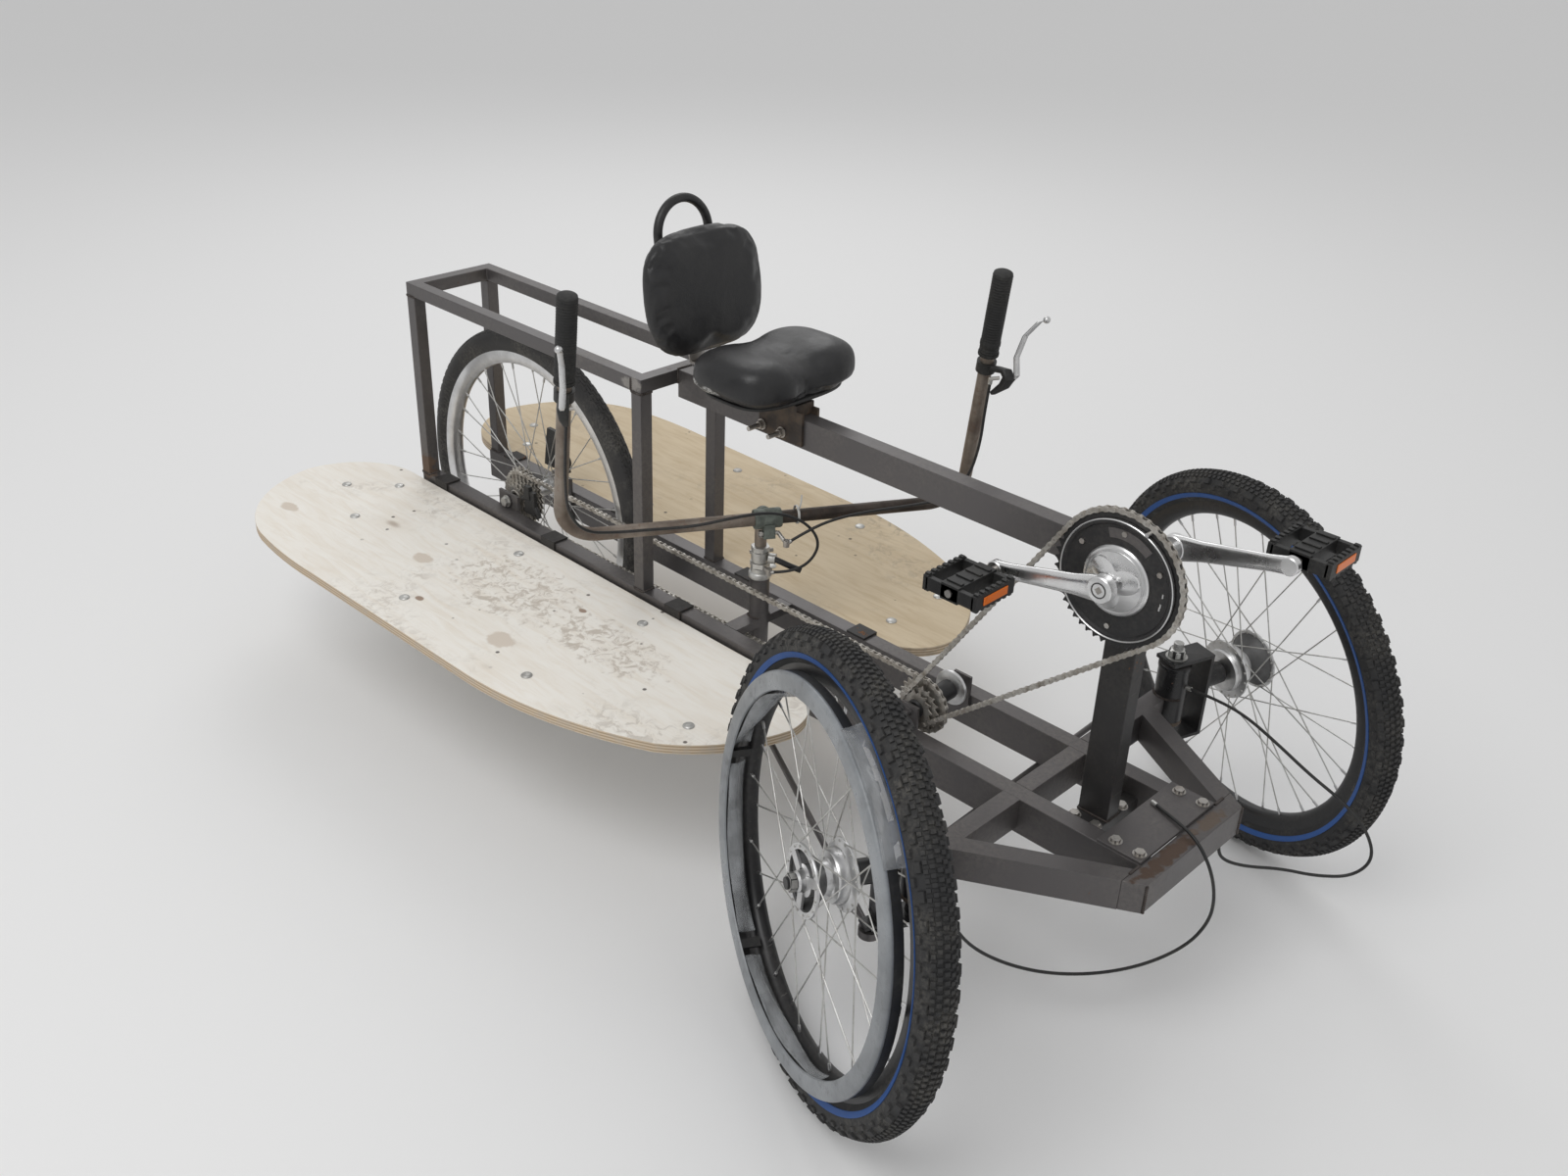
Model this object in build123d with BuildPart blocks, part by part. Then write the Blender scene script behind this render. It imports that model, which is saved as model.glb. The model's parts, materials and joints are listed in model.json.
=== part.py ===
# Home-built recumbent trike: two steered front wheels, one driven rear wheel.
# Millimetres. While it is built, x points forward from the kingpins, y points left
# from the middle plane and z points up from the floor. At the end the whole model
# is moved so that its origin is the middle of its footprint on the floor.
from build123d import *
from math import acos, atan2, cos, degrees, hypot, pi, radians, sin, tan
import os

# Gaps between pieces
RUNNING_GAP = 0.3          # radial gap of a pin or shaft in its hole
SEAT_GAP = 0.3             # gap between a piece and a curved seat of its own body

# Wheels
RIM_IN_R = 262.0
RIM_DEPTH = 20.0
BEAD_R = RIM_IN_R + RIM_DEPTH  # inner radius of a tyre at its beads
TYRE_R = BEAD_R + 51.0     # over the knobs of the front tyres
TYRE_HALF = 27.0
REAR_TYRE_R = BEAD_R + 46.0
REAR_TYRE_HALF = 22.0
BEAD_SHARE = 0.66          # half width at the beads, of the tyre's half width
RIM_HALF = 14.0
REAR_AXLE_X = -1260.0
SPOKE_R = 1.0
SPOKES_PER_SIDE = 16
STUB_R = 8.5
HUB_BARREL_R = 20.0
HUB_OUT = 42.0             # outboard face of a front hub from the wheel's middle plane
HUB_IN = 36.0
HOOP_GAP = 5.0             # hoop's outer edge to the beads
RING_R = BEAD_R - HOOP_GAP
RING_BAND = 26.0
RING_OFFSET = 47.0
RING_DEPTH = RING_OFFSET - RIM_HALF - SEAT_GAP  # its lip reaches the rim's side

# Lower frame
AXLE_DROP = 14.0           # the rear axle's height above the rails
RAIL_TOP = REAR_TYRE_R - AXLE_DROP
RAIL_OUTER = 98.0          # middle plane to a rail's outer face
RAIL_W = 30.0
RAIL_H = 60.0
RAIL_REAR = -1513.0        # rear ends of the rails
TUBE_W = 30.0              # width of the cross tubes, arms, boom and post
TUBE_H = 50.0              # height of the cross tubes, arms and boom
FRONT_TUBE_X = 222.0       # centre line of the front cross tube
FRONT_TUBE_HALF = 126.0    # half its front face's length
ARM_SLOPE = 0.58           # how far an arm runs out for each mm it runs back
BEAM_X = -10.0             # centre line of the kingpin beam
STEM_X = -630.0            # steering column

# Rear cage
CAGE_TOP = RAIL_TOP + 399.0
CAGE_FRONT = -822.0        # front face of the cage
CAGE_TUBE = 25.0

# Boom, post and crank axle
BB_X = 78.0                # crank axle
BB_Z = CAGE_TOP - TUBE_H / 2
BB_SHELL_R = 20.0
BB_SHELL_HALF = 34.0
POST_DEPTH = 50.0
PLATE_X0 = 136.0           # rear edge of the front plate
PLATE_X1 = 207.0
PLATE_T = 5.0

# Kingpins and front wheels
KINGPIN_Y = 315.0
KINGPIN_R = 8.0
HOUSING_R = 25.0
HOUSING_BOTTOM = RAIL_TOP - 52.0
HOUSING_TOP = RAIL_TOP + 58.0
WHEEL_OFFSET = 142.0       # kingpin axis to the wheel's middle plane
CAMBER = 5.5               # degrees, wheel tops lean inwards
STEER_RIGHT_WHEEL = -24.0  # degrees as parked, turned to the right
STEER_LEFT_WHEEL = -18.0
STEER_BAR = -30.0
BRACKET_IN = 56.0          # kingpin axis to the bracket's outer plate
BRACKET_T = 6.0
BRACKET_W = 44.0
ARM_Z = RAIL_TOP - 85.0    # underside of the steering arms
TIE_ARM_BACK = 87.0        # tie rod pin behind the kingpin
TIE_ARM_IN = 23.0          # and towards the middle
DRAG_ARM = 70.0            # drag link pin outboard of the right kingpin
PITMAN = 50.0              # drag link pin from the steering column
ROD_R = 5.0
EYE_R = 11.0
ROD_PIN_R = 4.0
LOOSE_GAP = 4.6            # play of a rod's far eye on its pin, for the steering's small errors
ROD_GAP = 2.0              # arm to a rod's eye
TIE_ROD_Z = ARM_Z + BRACKET_T + ROD_R + ROD_GAP
DRAG_LINK_Z = ARM_Z - ROD_R - ROD_GAP - 4

# Boards
BOARD_TOP = RAIL_TOP - 12.0
BOARD_T = 18.0
BOARD_IN = 103.0
BOARD_OUT = 480.0
BOARD_REAR = -1700.0
BOARD_FRONT = -TYRE_R - 22.0
STRAP_W = 40.0
STRAP_T = 4.0

# Drive
CHAIN_Y = -50.0            # middle plane of the front chain
REAR_CHAIN_Y = -34.0
PITCH = 12.7
CHAINRING_TEETH = 48
JACK_FRONT_TEETH = 14
JACK_REAR_TEETH = 22
CASSETTE_TEETH = 24
JACK_X = -232.0
JACK_Z = RAIL_TOP + 21.0
CRANK = 170.0
CRANK_ANGLE = 12.5         # right crank points back and down by this
CRANK_Y = 88.0             # crank arm's middle plane
PEDAL_Y = 150.0
CHAIN_HALF = 3.6           # half the chain's width
CHAIN_SLOT = 1.7           # half the slot between the side plates
CHAIN_OUT = 4.8            # chain's outer edge beyond the pitch line
CHAIN_BACK = 3.2           # where its back starts
CHAIN_IN = 4.4             # its inner edge inside the pitch line
TOOTH_HALF = 1.0
AXLE_R = 5.0

# Seat
SEAT_X = -610.0
SADDLE_LENGTH = 185.0
SADDLE_WIDTH = 262.0
SADDLE_BOTTOM = CAGE_TOP + 25.0
SADDLE_TOP = SADDLE_BOTTOM + 74.0
BACK_X = -780.0
BACK_Z = SADDLE_TOP + 46.0
BACK_W = 256.0
BACK_H = 212.0
BACK_T = 50.0
BACK_LEAN = 8.0
LOOP_R = 54.5
LOOP_TUBE_R = 7.5
CLAMP_T = 5.0

# Handlebar
BAR_Z = RAIL_TOP + 203.0
BAR_R = 11.0
BAR_REACH = 36.0
BAR_HALF = 343.0
BAR_TOP = BAR_Z + 423.0
BAR_BEND = 60.0            # centre-line radius of its two bends
BAR_LEAN = 0.24            # forward lean of the uprights, mm for each mm of height
BAR_CLOSE = 0.03           # inward lean
GRIP_R = 16.0
GRIP_L = 140.0
STEERER_R = 12.7
HEAD_R = 17.5
HEAD_TOP = RAIL_TOP + 74.0
CROSS_BAR_H = 15.0         # bar that holds the head tube, above the rear chain's lower run

RAIL_MID = RAIL_OUTER - RAIL_W / 2
RAIL_INNER = RAIL_OUTER - RAIL_W
FOOT_TOP = RAIL_TOP - RAIL_H / 2
SIDES = (("right", -1), ("left", 1))
pieces = {}


def pitch_radius(teeth):
    """Radius of the chain's pins round a sprocket."""
    return PITCH / 2 / sin(pi / teeth)


def turned(angle, x, y):
    """A point turned about the origin, degrees."""
    c = cos(radians(angle))
    s = sin(radians(angle))
    return (x * c - y * s, x * s + y * c)


# Lower rails
with BuildPart() as rails:
    with BuildSketch(Plane.YZ.offset(RAIL_REAR)):
        with Locations((RAIL_MID, RAIL_TOP - RAIL_H / 2), (-RAIL_MID, RAIL_TOP - RAIL_H / 2)):
            Rectangle(RAIL_W, RAIL_H)
    extrude(amount=FRONT_TUBE_X - TUBE_W / 2 - RAIL_REAR)
pieces["rails"] = rails.part

# Front cross tube, its ends cut along the arms' outer faces
tube_front = FRONT_TUBE_X + TUBE_W / 2
tube_rear = FRONT_TUBE_X - TUBE_W / 2
with BuildPart() as cross_tubes:
    with BuildSketch(Plane.XY.offset(RAIL_TOP - TUBE_H)):
        with BuildLine():
            wide = FRONT_TUBE_HALF + TUBE_W * ARM_SLOPE
            Polyline([(tube_front, -FRONT_TUBE_HALF), (tube_front, FRONT_TUBE_HALF),
                      (tube_rear, wide), (tube_rear, -wide)], close=True)
        make_face()
    extrude(amount=TUBE_H)
    with BuildSketch(Plane.XY.offset(RAIL_TOP - TUBE_H)):
        with Locations((BEAM_X, 0)):
            Rectangle(TUBE_W, 2 * RAIL_INNER)
    extrude(amount=TUBE_H)
pieces["cross_tubes"] = cross_tubes.part

# Swept arms, each with the outer part of the kingpin beam and a kingpin housing
breadth = TUBE_W * hypot(1, ARM_SLOPE)
arm_rear = wide + (tube_rear - BEAM_X) * ARM_SLOPE
with BuildPart() as front_arms:
    for side, sign in SIDES:
        with BuildSketch(Plane.XY.offset(RAIL_TOP - TUBE_H)):
            with BuildLine():
                Polyline([(tube_rear, sign * (wide - breadth)), (tube_rear, sign * wide),
                          (BEAM_X, sign * arm_rear), (BEAM_X, sign * (arm_rear - breadth))], close=True)
            make_face()
            with Locations((BEAM_X, sign * (RAIL_OUTER + KINGPIN_Y) / 2)):
                Rectangle(TUBE_W, KINGPIN_Y - RAIL_OUTER)
        extrude(amount=TUBE_H)
        with BuildSketch(Plane.XY.offset(HOUSING_BOTTOM)):
            with Locations((0, sign * KINGPIN_Y)):
                Circle(HOUSING_R)
        extrude(amount=HOUSING_TOP - HOUSING_BOTTOM)
        with BuildSketch(Plane.XY.offset(HOUSING_BOTTOM)):
            with Locations((0, sign * KINGPIN_Y)):
                Circle(KINGPIN_R + RUNNING_GAP)
        extrude(amount=HOUSING_TOP - HOUSING_BOTTOM, mode=Mode.SUBTRACT)
pieces["front_arms"] = front_arms.part

# Front plate on the rails with its four bolts
BOLT_X = (157.0, 196.0)
with BuildPart() as front_plate:
    with BuildSketch(Plane.XY.offset(RAIL_TOP)):
        with Locations(((PLATE_X0 + PLATE_X1) / 2, 0)):
            Rectangle(PLATE_X1 - PLATE_X0, 2 * RAIL_OUTER)
    extrude(amount=PLATE_T)
    with BuildSketch(Plane.XY.offset(RAIL_TOP + PLATE_T)):
        for x in BOLT_X:
            with Locations((x, RAIL_MID), (x, -RAIL_MID)):
                RegularPolygon(7.5, 6)
    extrude(amount=5.3)
pieces["front_plate"] = front_plate.part

# Front post on a foot between the rails
with BuildPart() as front_post:
    with BuildSketch(Plane.XY.offset(RAIL_TOP - RAIL_H)):
        with Locations((BB_X, 0)):
            Rectangle(POST_DEPTH, 2 * RAIL_INNER)
    extrude(amount=RAIL_H / 2)
    with BuildSketch(Plane.XY.offset(FOOT_TOP)):
        with Locations((BB_X, 0)):
            Rectangle(POST_DEPTH, TUBE_W)
    extrude(amount=CAGE_TOP - TUBE_H - FOOT_TOP)
pieces["front_post"] = front_post.part

# Crank axle shell
with BuildPart() as shell:
    with BuildSketch(Plane.XZ.offset(-BB_SHELL_HALF)):
        with Locations((BB_X, BB_Z)):
            Circle(BB_SHELL_R)
            Circle(AXLE_R + 3 + RUNNING_GAP, mode=Mode.SUBTRACT)
    extrude(amount=2 * BB_SHELL_HALF)
pieces["crank_axle_shell"] = shell.part

# Boom from the cage to the post's front face, with the crank axle shell let into its end
with BuildPart() as boom:
    with BuildSketch(Plane.XZ.offset(-TUBE_W / 2)):
        with Locations(((CAGE_FRONT + BB_X + POST_DEPTH / 2) / 2, CAGE_TOP - TUBE_H / 2)):
            Rectangle(BB_X + POST_DEPTH / 2 - CAGE_FRONT, TUBE_H)
        with Locations((BB_X, BB_Z)):
            Circle(BB_SHELL_R + SEAT_GAP, mode=Mode.SUBTRACT)
    extrude(amount=TUBE_W)
pieces["boom"] = boom.part

# Rear cage: four posts on the rails and a rectangle on top
with BuildPart() as cage:
    for x0 in (RAIL_REAR, CAGE_FRONT - CAGE_TUBE):
        for sign in (-1, 1):
            with BuildSketch(Plane.XY.offset(RAIL_TOP)):
                with Locations((x0 + CAGE_TUBE / 2, sign * (RAIL_OUTER - CAGE_TUBE / 2))):
                    Rectangle(CAGE_TUBE, CAGE_TUBE)
            extrude(amount=CAGE_TOP - RAIL_TOP)
    with BuildSketch(Plane.XY.offset(CAGE_TOP - CAGE_TUBE)):
        with Locations(((RAIL_REAR + CAGE_FRONT) / 2, 0)):
            Rectangle(CAGE_FRONT - RAIL_REAR, 2 * RAIL_OUTER)
            Rectangle(CAGE_FRONT - RAIL_REAR - 2 * CAGE_TUBE, 2 * (RAIL_OUTER - CAGE_TUBE),
                      mode=Mode.SUBTRACT)
    extrude(amount=CAGE_TUBE)
pieces["rear_cage"] = cage.part

# Boards beside the rails, each a rounded plank with a straight inner edge
BOARD_REAR_R = 170.0
BOARD_SHOULDER_X = -850.0  # where the outer edge starts to run in
with BuildPart() as boards:
    for side, sign in SIDES:
        with BuildSketch(Plane.XY.offset(BOARD_TOP - BOARD_T)):
            with BuildLine():
                a = (BOARD_REAR + 175, sign * BOARD_IN)
                b = (BOARD_REAR, sign * (BOARD_IN + 150))
                c = (BOARD_REAR + 200, sign * (BOARD_OUT - 12))
                d = (BOARD_REAR + 400, sign * BOARD_OUT)
                e = (BOARD_SHOULDER_X, sign * (BOARD_OUT - 6))
                f = (BOARD_FRONT - 118, sign * (BOARD_OUT - 100))
                g = (BOARD_FRONT, sign * (BOARD_IN + 100))
                h = (BOARD_FRONT - 90, sign * BOARD_IN)
                Line(h, a)
                ThreePointArc(a, (BOARD_REAR + 42, sign * (BOARD_IN + 50)), b)
                ThreePointArc(b, (BOARD_REAR + 62, sign * (BOARD_OUT - 92)), c)
                ThreePointArc(c, (BOARD_REAR + 300, sign * (BOARD_OUT - 1)), d)
                Line(d, e)
                ThreePointArc(e, (BOARD_FRONT - 270, sign * (BOARD_OUT - 38)), f)
                ThreePointArc(f, (BOARD_FRONT - 36, sign * (BOARD_OUT - 188)), g)
                ThreePointArc(g, (BOARD_FRONT - 26, sign * (BOARD_IN + 29)), h)
            make_face()
        extrude(amount=BOARD_T)
pieces["boards"] = boards.part

# Straps: over the rail's top, down its outer face and out under the board
STRAPS = (-1443.0, -1094.0, -742.0, -465.0)
strap_under = BOARD_TOP - BOARD_T
with BuildPart() as straps:
    for side, sign in SIDES:
        for x in STRAPS:
            reach = BOARD_OUT - 60 if x < -500 else BOARD_OUT - 150
            with BuildSketch(Plane.YZ.offset(x - STRAP_W / 2)):
                with BuildLine():
                    Polyline([(sign * RAIL_INNER, RAIL_TOP), (sign * RAIL_OUTER, RAIL_TOP),
                              (sign * RAIL_OUTER, strap_under - STRAP_T), (sign * reach, strap_under - STRAP_T),
                              (sign * reach, strap_under), (sign * (RAIL_OUTER + STRAP_T), strap_under),
                              (sign * (RAIL_OUTER + STRAP_T), RAIL_TOP + STRAP_T),
                              (sign * RAIL_INNER, RAIL_TOP + STRAP_T)], close=True)
                make_face()
            extrude(amount=STRAP_W)
pieces["board_straps"] = straps.part

# Steering column: head tube on a cross bar between the rails
with BuildPart() as head_tube:
    with BuildSketch(Plane.XY.offset(RAIL_TOP - CROSS_BAR_H)):
        with Locations((STEM_X, 0)):
            Rectangle(TUBE_W, 2 * RAIL_INNER)
    extrude(amount=CROSS_BAR_H)
    with BuildSketch(Plane.XY.offset(RAIL_TOP - RAIL_H)):
        with Locations((STEM_X, 0)):
            Circle(HEAD_R)
    extrude(amount=HEAD_TOP - RAIL_TOP + RAIL_H)
    with BuildSketch(Plane.XY.offset(RAIL_TOP - RAIL_H)):
        with Locations((STEM_X, 0)):
            Circle(STEERER_R + RUNNING_GAP)
    extrude(amount=HEAD_TOP - RAIL_TOP + RAIL_H, mode=Mode.SUBTRACT)
pieces["head_tube"] = head_tube.part

# Handlebar, drawn straight ahead about the column and then turned as parked
bar_plane = Plane(origin=(STEM_X, 0, 0), x_dir=(*turned(STEER_BAR, 1, 0), 0), z_dir=(0, 0, 1))


def bar_point(x, y, z):
    """A point of the handlebar's own frame in the model."""
    return bar_plane.from_local_coords(Vector(x, y, z))


with BuildPart() as handlebar:
    rise = BAR_TOP - BAR_Z
    ends = {}
    for side, sign in SIDES:
        ends[side] = Vector(BAR_REACH + BAR_LEAN * rise, sign * (BAR_HALF - BAR_CLOSE * rise), BAR_TOP)
    route = [bar_point(*ends["right"]), bar_point(BAR_REACH, -BAR_HALF, BAR_Z),
             bar_point(BAR_REACH, BAR_HALF, BAR_Z), bar_point(*ends["left"])]
    with BuildLine():
        FilletPolyline(route, radius=BAR_BEND)
    with BuildSketch(Plane(origin=route[0], z_dir=(route[1] - route[0]).normalized())):
        Circle(BAR_R)
    sweep()
pieces["handlebar"] = handlebar.part

# Grips and brake levers on the two uprights
with BuildPart() as grips:
    for side, sign in SIDES:
        top = bar_point(*ends[side])
        down = (bar_point(BAR_REACH, sign * BAR_HALF, BAR_Z) - top).normalized()
        with BuildSketch(Plane(origin=top - down * 6, z_dir=down)):
            Circle(GRIP_R)
        extrude(amount=GRIP_L)
        with BuildSketch(Plane(origin=top, z_dir=down)):
            Circle(BAR_R + SEAT_GAP)
        extrude(amount=GRIP_L, mode=Mode.SUBTRACT)
pieces["grips"] = grips.part

with BuildPart() as levers:
    for side, sign in SIDES:
        top = bar_point(*ends[side])
        down = (bar_point(BAR_REACH, sign * BAR_HALF, BAR_Z) - top).normalized()
        front = bar_plane.x_dir
        base = top + down * (GRIP_L + 10)
        with BuildSketch(Plane(origin=base + down * 11 + front * 26, x_dir=front, z_dir=down)):
            Rectangle(24, 14)
        extrude(amount=11, both=True)
        pivot = base + down * 4 + front * 34
        tip = base - down * 78 + front * 52
        with BuildSketch(Plane(origin=pivot, z_dir=(tip - pivot).normalized())):
            Rectangle(9, 9)
        extrude(amount=(tip - pivot).length)
        with BuildSketch(Plane(origin=base, z_dir=down)):
            Circle(BAR_R + 5)
        extrude(amount=22)
        with BuildSketch(Plane(origin=base, z_dir=down)):
            Circle(BAR_R + SEAT_GAP)
        extrude(amount=22, mode=Mode.SUBTRACT)
pieces["brake_levers"] = levers.part

with BuildPart() as stem:
    with BuildSketch(Plane.XY.offset(ARM_Z)):
        with Locations((STEM_X, 0)):
            Circle(STEERER_R)
    extrude(amount=BAR_Z - 9 - ARM_Z)
    with BuildSketch(Plane.XY.offset(HEAD_TOP + SEAT_GAP)):
        with Locations((STEM_X, 0)):
            Circle(HEAD_R + 2)
    extrude(amount=11)
    with BuildSketch(Plane.XY.offset(HEAD_TOP + 11)):
        with Locations((STEM_X, 0)):
            RegularPolygon(HEAD_R, 6)
    extrude(amount=50)
    with BuildSketch(Plane(origin=bar_point(0, 0, BAR_Z - 20), x_dir=bar_plane.x_dir, z_dir=(0, 0, 1))):
        with Locations((BAR_REACH / 2, 0)):
            Rectangle(BAR_REACH + 28, 34)
    extrude(amount=36)
    with BuildSketch(Plane(origin=bar_point(BAR_REACH, -30, BAR_Z), x_dir=bar_plane.x_dir,
                           z_dir=bar_plane.y_dir)):
        Circle(BAR_R + SEAT_GAP)
    extrude(amount=60, mode=Mode.SUBTRACT)
    with BuildSketch(Plane(origin=bar_point(0, 0, ARM_Z), x_dir=bar_plane.x_dir, z_dir=(0, 0, 1))):
        with Locations((0, -PITMAN / 2)):
            SlotCenterToCenter(PITMAN, 28, rotation=90)
    extrude(amount=BRACKET_T)
    with BuildSketch(Plane(origin=bar_point(0, 0, DRAG_LINK_Z - ROD_R - 3), x_dir=bar_plane.x_dir,
                           z_dir=(0, 0, 1))):
        with Locations((0, -PITMAN)):
            Circle(ROD_PIN_R)
    extrude(amount=ARM_Z - DRAG_LINK_Z + ROD_R + 3)
pieces["stem"] = stem.part


def steering_plane(sign):
    """Plane at the foot of a kingpin, x forward along the steered wheel."""
    angle = STEER_RIGHT_WHEEL if sign < 0 else STEER_LEFT_WHEEL
    return Plane(origin=(0, sign * KINGPIN_Y, 0), x_dir=(*turned(angle, 1, 0), 0), z_dir=(0, 0, 1))


# Height of a leaning front wheel's centre above the floor
WHEEL_Z = TYRE_R * cos(radians(CAMBER))


def wheel_plane(sign):
    """Plane at a front wheel's centre: x forward, y along the axle outboard."""
    base = steering_plane(sign)
    centre = base.from_local_coords(Vector(0, sign * WHEEL_OFFSET, WHEEL_Z))
    out = base.y_dir * sign * cos(radians(CAMBER)) + Vector(0, 0, sin(radians(CAMBER)))
    return Plane(origin=centre, x_dir=base.x_dir, z_dir=base.x_dir.cross(out))


# Knuckles: bracket round the housing, kingpin, stub axle and steering arms
def make_knuckle(sign):
    """One front knuckle as parked."""
    base = steering_plane(sign)
    wheel = wheel_plane(sign)
    top = HOUSING_TOP + 4

    def at(z):
        return Plane(origin=base.origin + Vector(0, 0, z), x_dir=base.x_dir, z_dir=(0, 0, 1))

    with BuildPart() as knuckle:
        with BuildSketch(at(ARM_Z + BRACKET_T)):
            Circle(KINGPIN_R)
        extrude(amount=top + 32 - ARM_Z - BRACKET_T)
        with BuildSketch(at(ARM_Z + BRACKET_T)):
            Circle(16)
        extrude(amount=HOUSING_BOTTOM - SEAT_GAP - ARM_Z - BRACKET_T)
        with BuildSketch(at(HOUSING_TOP + SEAT_GAP)):
            Circle(15)
        extrude(amount=top - HOUSING_TOP - SEAT_GAP)
        for z in (ARM_Z, top):
            with BuildSketch(at(z)):
                with Locations((0, sign * (BRACKET_IN + BRACKET_T - 22) / 2)):
                    Rectangle(BRACKET_W, BRACKET_IN + BRACKET_T + 22)
            extrude(amount=BRACKET_T)
        with BuildSketch(at(ARM_Z)):
            with Locations((0, sign * (BRACKET_IN + BRACKET_T / 2))):
                Rectangle(BRACKET_W, BRACKET_T)
        extrude(amount=top - ARM_Z)
        with BuildSketch(at(top + BRACKET_T)):
            RegularPolygon(14, 6)
        extrude(amount=14)
        # rearward arm for the tie rod
        pin = Vector(-TIE_ARM_BACK, -sign * TIE_ARM_IN)
        with BuildSketch(at(ARM_Z)):
            with Locations(Location((pin.X / 2, pin.Y / 2, 0), (0, 0, degrees(atan2(pin.Y, pin.X))))):
                SlotCenterToCenter(hypot(pin.X, pin.Y), 24)
        extrude(amount=BRACKET_T)
        with BuildSketch(at(ARM_Z + BRACKET_T)):
            with Locations((pin.X, pin.Y)):
                Circle(ROD_PIN_R)
        extrude(amount=TIE_ROD_Z + ROD_R + 3 - ARM_Z - BRACKET_T)
        if sign < 0:
            with BuildSketch(at(ARM_Z)):
                with Locations((0, -(DRAG_ARM + BRACKET_IN) / 2)):
                    Rectangle(24, DRAG_ARM - BRACKET_IN + 24)
            extrude(amount=BRACKET_T)
            with BuildSketch(at(DRAG_LINK_Z - ROD_R - 3)):
                with Locations((0, -DRAG_ARM)):
                    Circle(ROD_PIN_R)
            extrude(amount=ARM_Z - DRAG_LINK_Z + ROD_R + 3)
        # stub axle, leaning with the wheel
        out = wheel.y_dir
        start = wheel.origin - out * ((WHEEL_OFFSET - BRACKET_IN - 3) / cos(radians(CAMBER)))
        with BuildSketch(Plane(origin=start, z_dir=out)):
            Circle(STUB_R)
        extrude(amount=(WHEEL_OFFSET - BRACKET_IN - 3) / cos(radians(CAMBER)) + HUB_OUT + 14)
        with BuildSketch(Plane(origin=start, z_dir=out)):
            Circle(18)
        extrude(amount=WHEEL_OFFSET - BRACKET_IN - HUB_IN - 8)
        with BuildSketch(Plane(origin=wheel.origin + out * (HUB_OUT + 1), z_dir=out)):
            RegularPolygon(13, 6)
        extrude(amount=9)
    return knuckle.part


for side, sign in SIDES:
    pieces["knuckle_" + side] = make_knuckle(sign)


def make_tyre(plane, tyre_r, half):
    """Tyre as a ring with a five-sided profile; scene.py gives it its round tread."""
    points = [(BEAD_R, -BEAD_SHARE * half), (BEAD_R, BEAD_SHARE * half), ((BEAD_R + tyre_r) / 2, half),
              (tyre_r, 0), ((BEAD_R + tyre_r) / 2, -half)]
    with BuildPart() as tyre:
        with BuildSketch(plane):
            with BuildLine():
                Polyline(points, close=True)
            make_face()
        revolve(axis=Axis(plane.origin, plane.y_dir))
    return tyre.part


def make_rim(plane):
    """Rim as a ring under the tyre's beads."""
    outer = BEAD_R - SEAT_GAP
    points = [(RIM_IN_R, 7), (outer - 10, RIM_HALF), (outer, RIM_HALF), (outer, -RIM_HALF),
              (outer - 10, -RIM_HALF), (RIM_IN_R, -7)]
    with BuildPart() as rim:
        with BuildSketch(plane):
            with BuildLine():
                Polyline(points, close=True)
            make_face()
        revolve(axis=Axis(plane.origin, plane.y_dir))
    return rim.part


def make_hub(plane, flanges, barrel_r, span, bore):
    """Hub with its spokes: flanges are (offset, flange radius) pairs."""
    axle = plane.y_dir
    across = plane.z_dir
    with BuildPart() as hub:
        with BuildSketch(Plane(origin=plane.origin + axle * span[0], z_dir=axle)):
            Circle(barrel_r)
        extrude(amount=span[1] - span[0])
        for offset, radius in flanges:
            with BuildSketch(Plane(origin=plane.origin + axle * (offset - 2), z_dir=axle)):
                Circle(radius)
            extrude(amount=4)
        with BuildSketch(Plane(origin=plane.origin + axle * span[0], z_dir=axle)):
            Circle(bore)
        extrude(amount=span[1] - span[0], mode=Mode.SUBTRACT)
        rim_r = RIM_IN_R - SEAT_GAP
        for row, (offset, radius) in enumerate(flanges):
            for index in range(SPOKES_PER_SIDE):
                lean = 1 if index % 2 else -1
                around = 2 * pi * (index + 0.5 * row) / SPOKES_PER_SIDE
                foot = around + lean * radians(62)
                hole = radius - 4
                start = (plane.origin + plane.x_dir * (hole * cos(foot)) + across * (hole * sin(foot))
                         + axle * (offset + 1.6 * lean))
                end = (plane.origin + plane.x_dir * (rim_r * cos(around)) + across * (rim_r * sin(around))
                       + axle * (4.0 if offset > 0 else -4.0))
                along = end - start
                with BuildSketch(Plane(origin=start, z_dir=along.normalized())):
                    Rectangle(2 * SPOKE_R, 2 * SPOKE_R)
                extrude(amount=along.length)
    return hub.part


for side, sign in SIDES:
    plane = wheel_plane(sign)
    pieces["tyre_" + side] = make_tyre(plane, TYRE_R, TYRE_HALF)
    pieces["rim_" + side] = make_rim(plane)
    pieces["hub_" + side] = make_hub(plane, ((31.0, 33.0), (-26.0, 50.0)), HUB_BARREL_R,
                                     (-HUB_IN, HUB_OUT), STUB_R + RUNNING_GAP)

# Hoop fixed outboard of the right wheel on short clips
plane = wheel_plane(-1)
with BuildPart() as hoop:
    with BuildSketch(plane):
        with BuildLine():
            Polyline([(RING_R - RING_BAND, RING_OFFSET), (RING_R, RING_OFFSET), (RING_R, RING_OFFSET - RING_DEPTH),
                      (RING_R - 3, RING_OFFSET - RING_DEPTH), (RING_R - 3, RING_OFFSET - 3),
                      (RING_R - RING_BAND, RING_OFFSET - 3)], close=True)
        make_face()
    revolve(axis=Axis(plane.origin, plane.y_dir))
pieces["wheel_hoop"] = hoop.part

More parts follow.
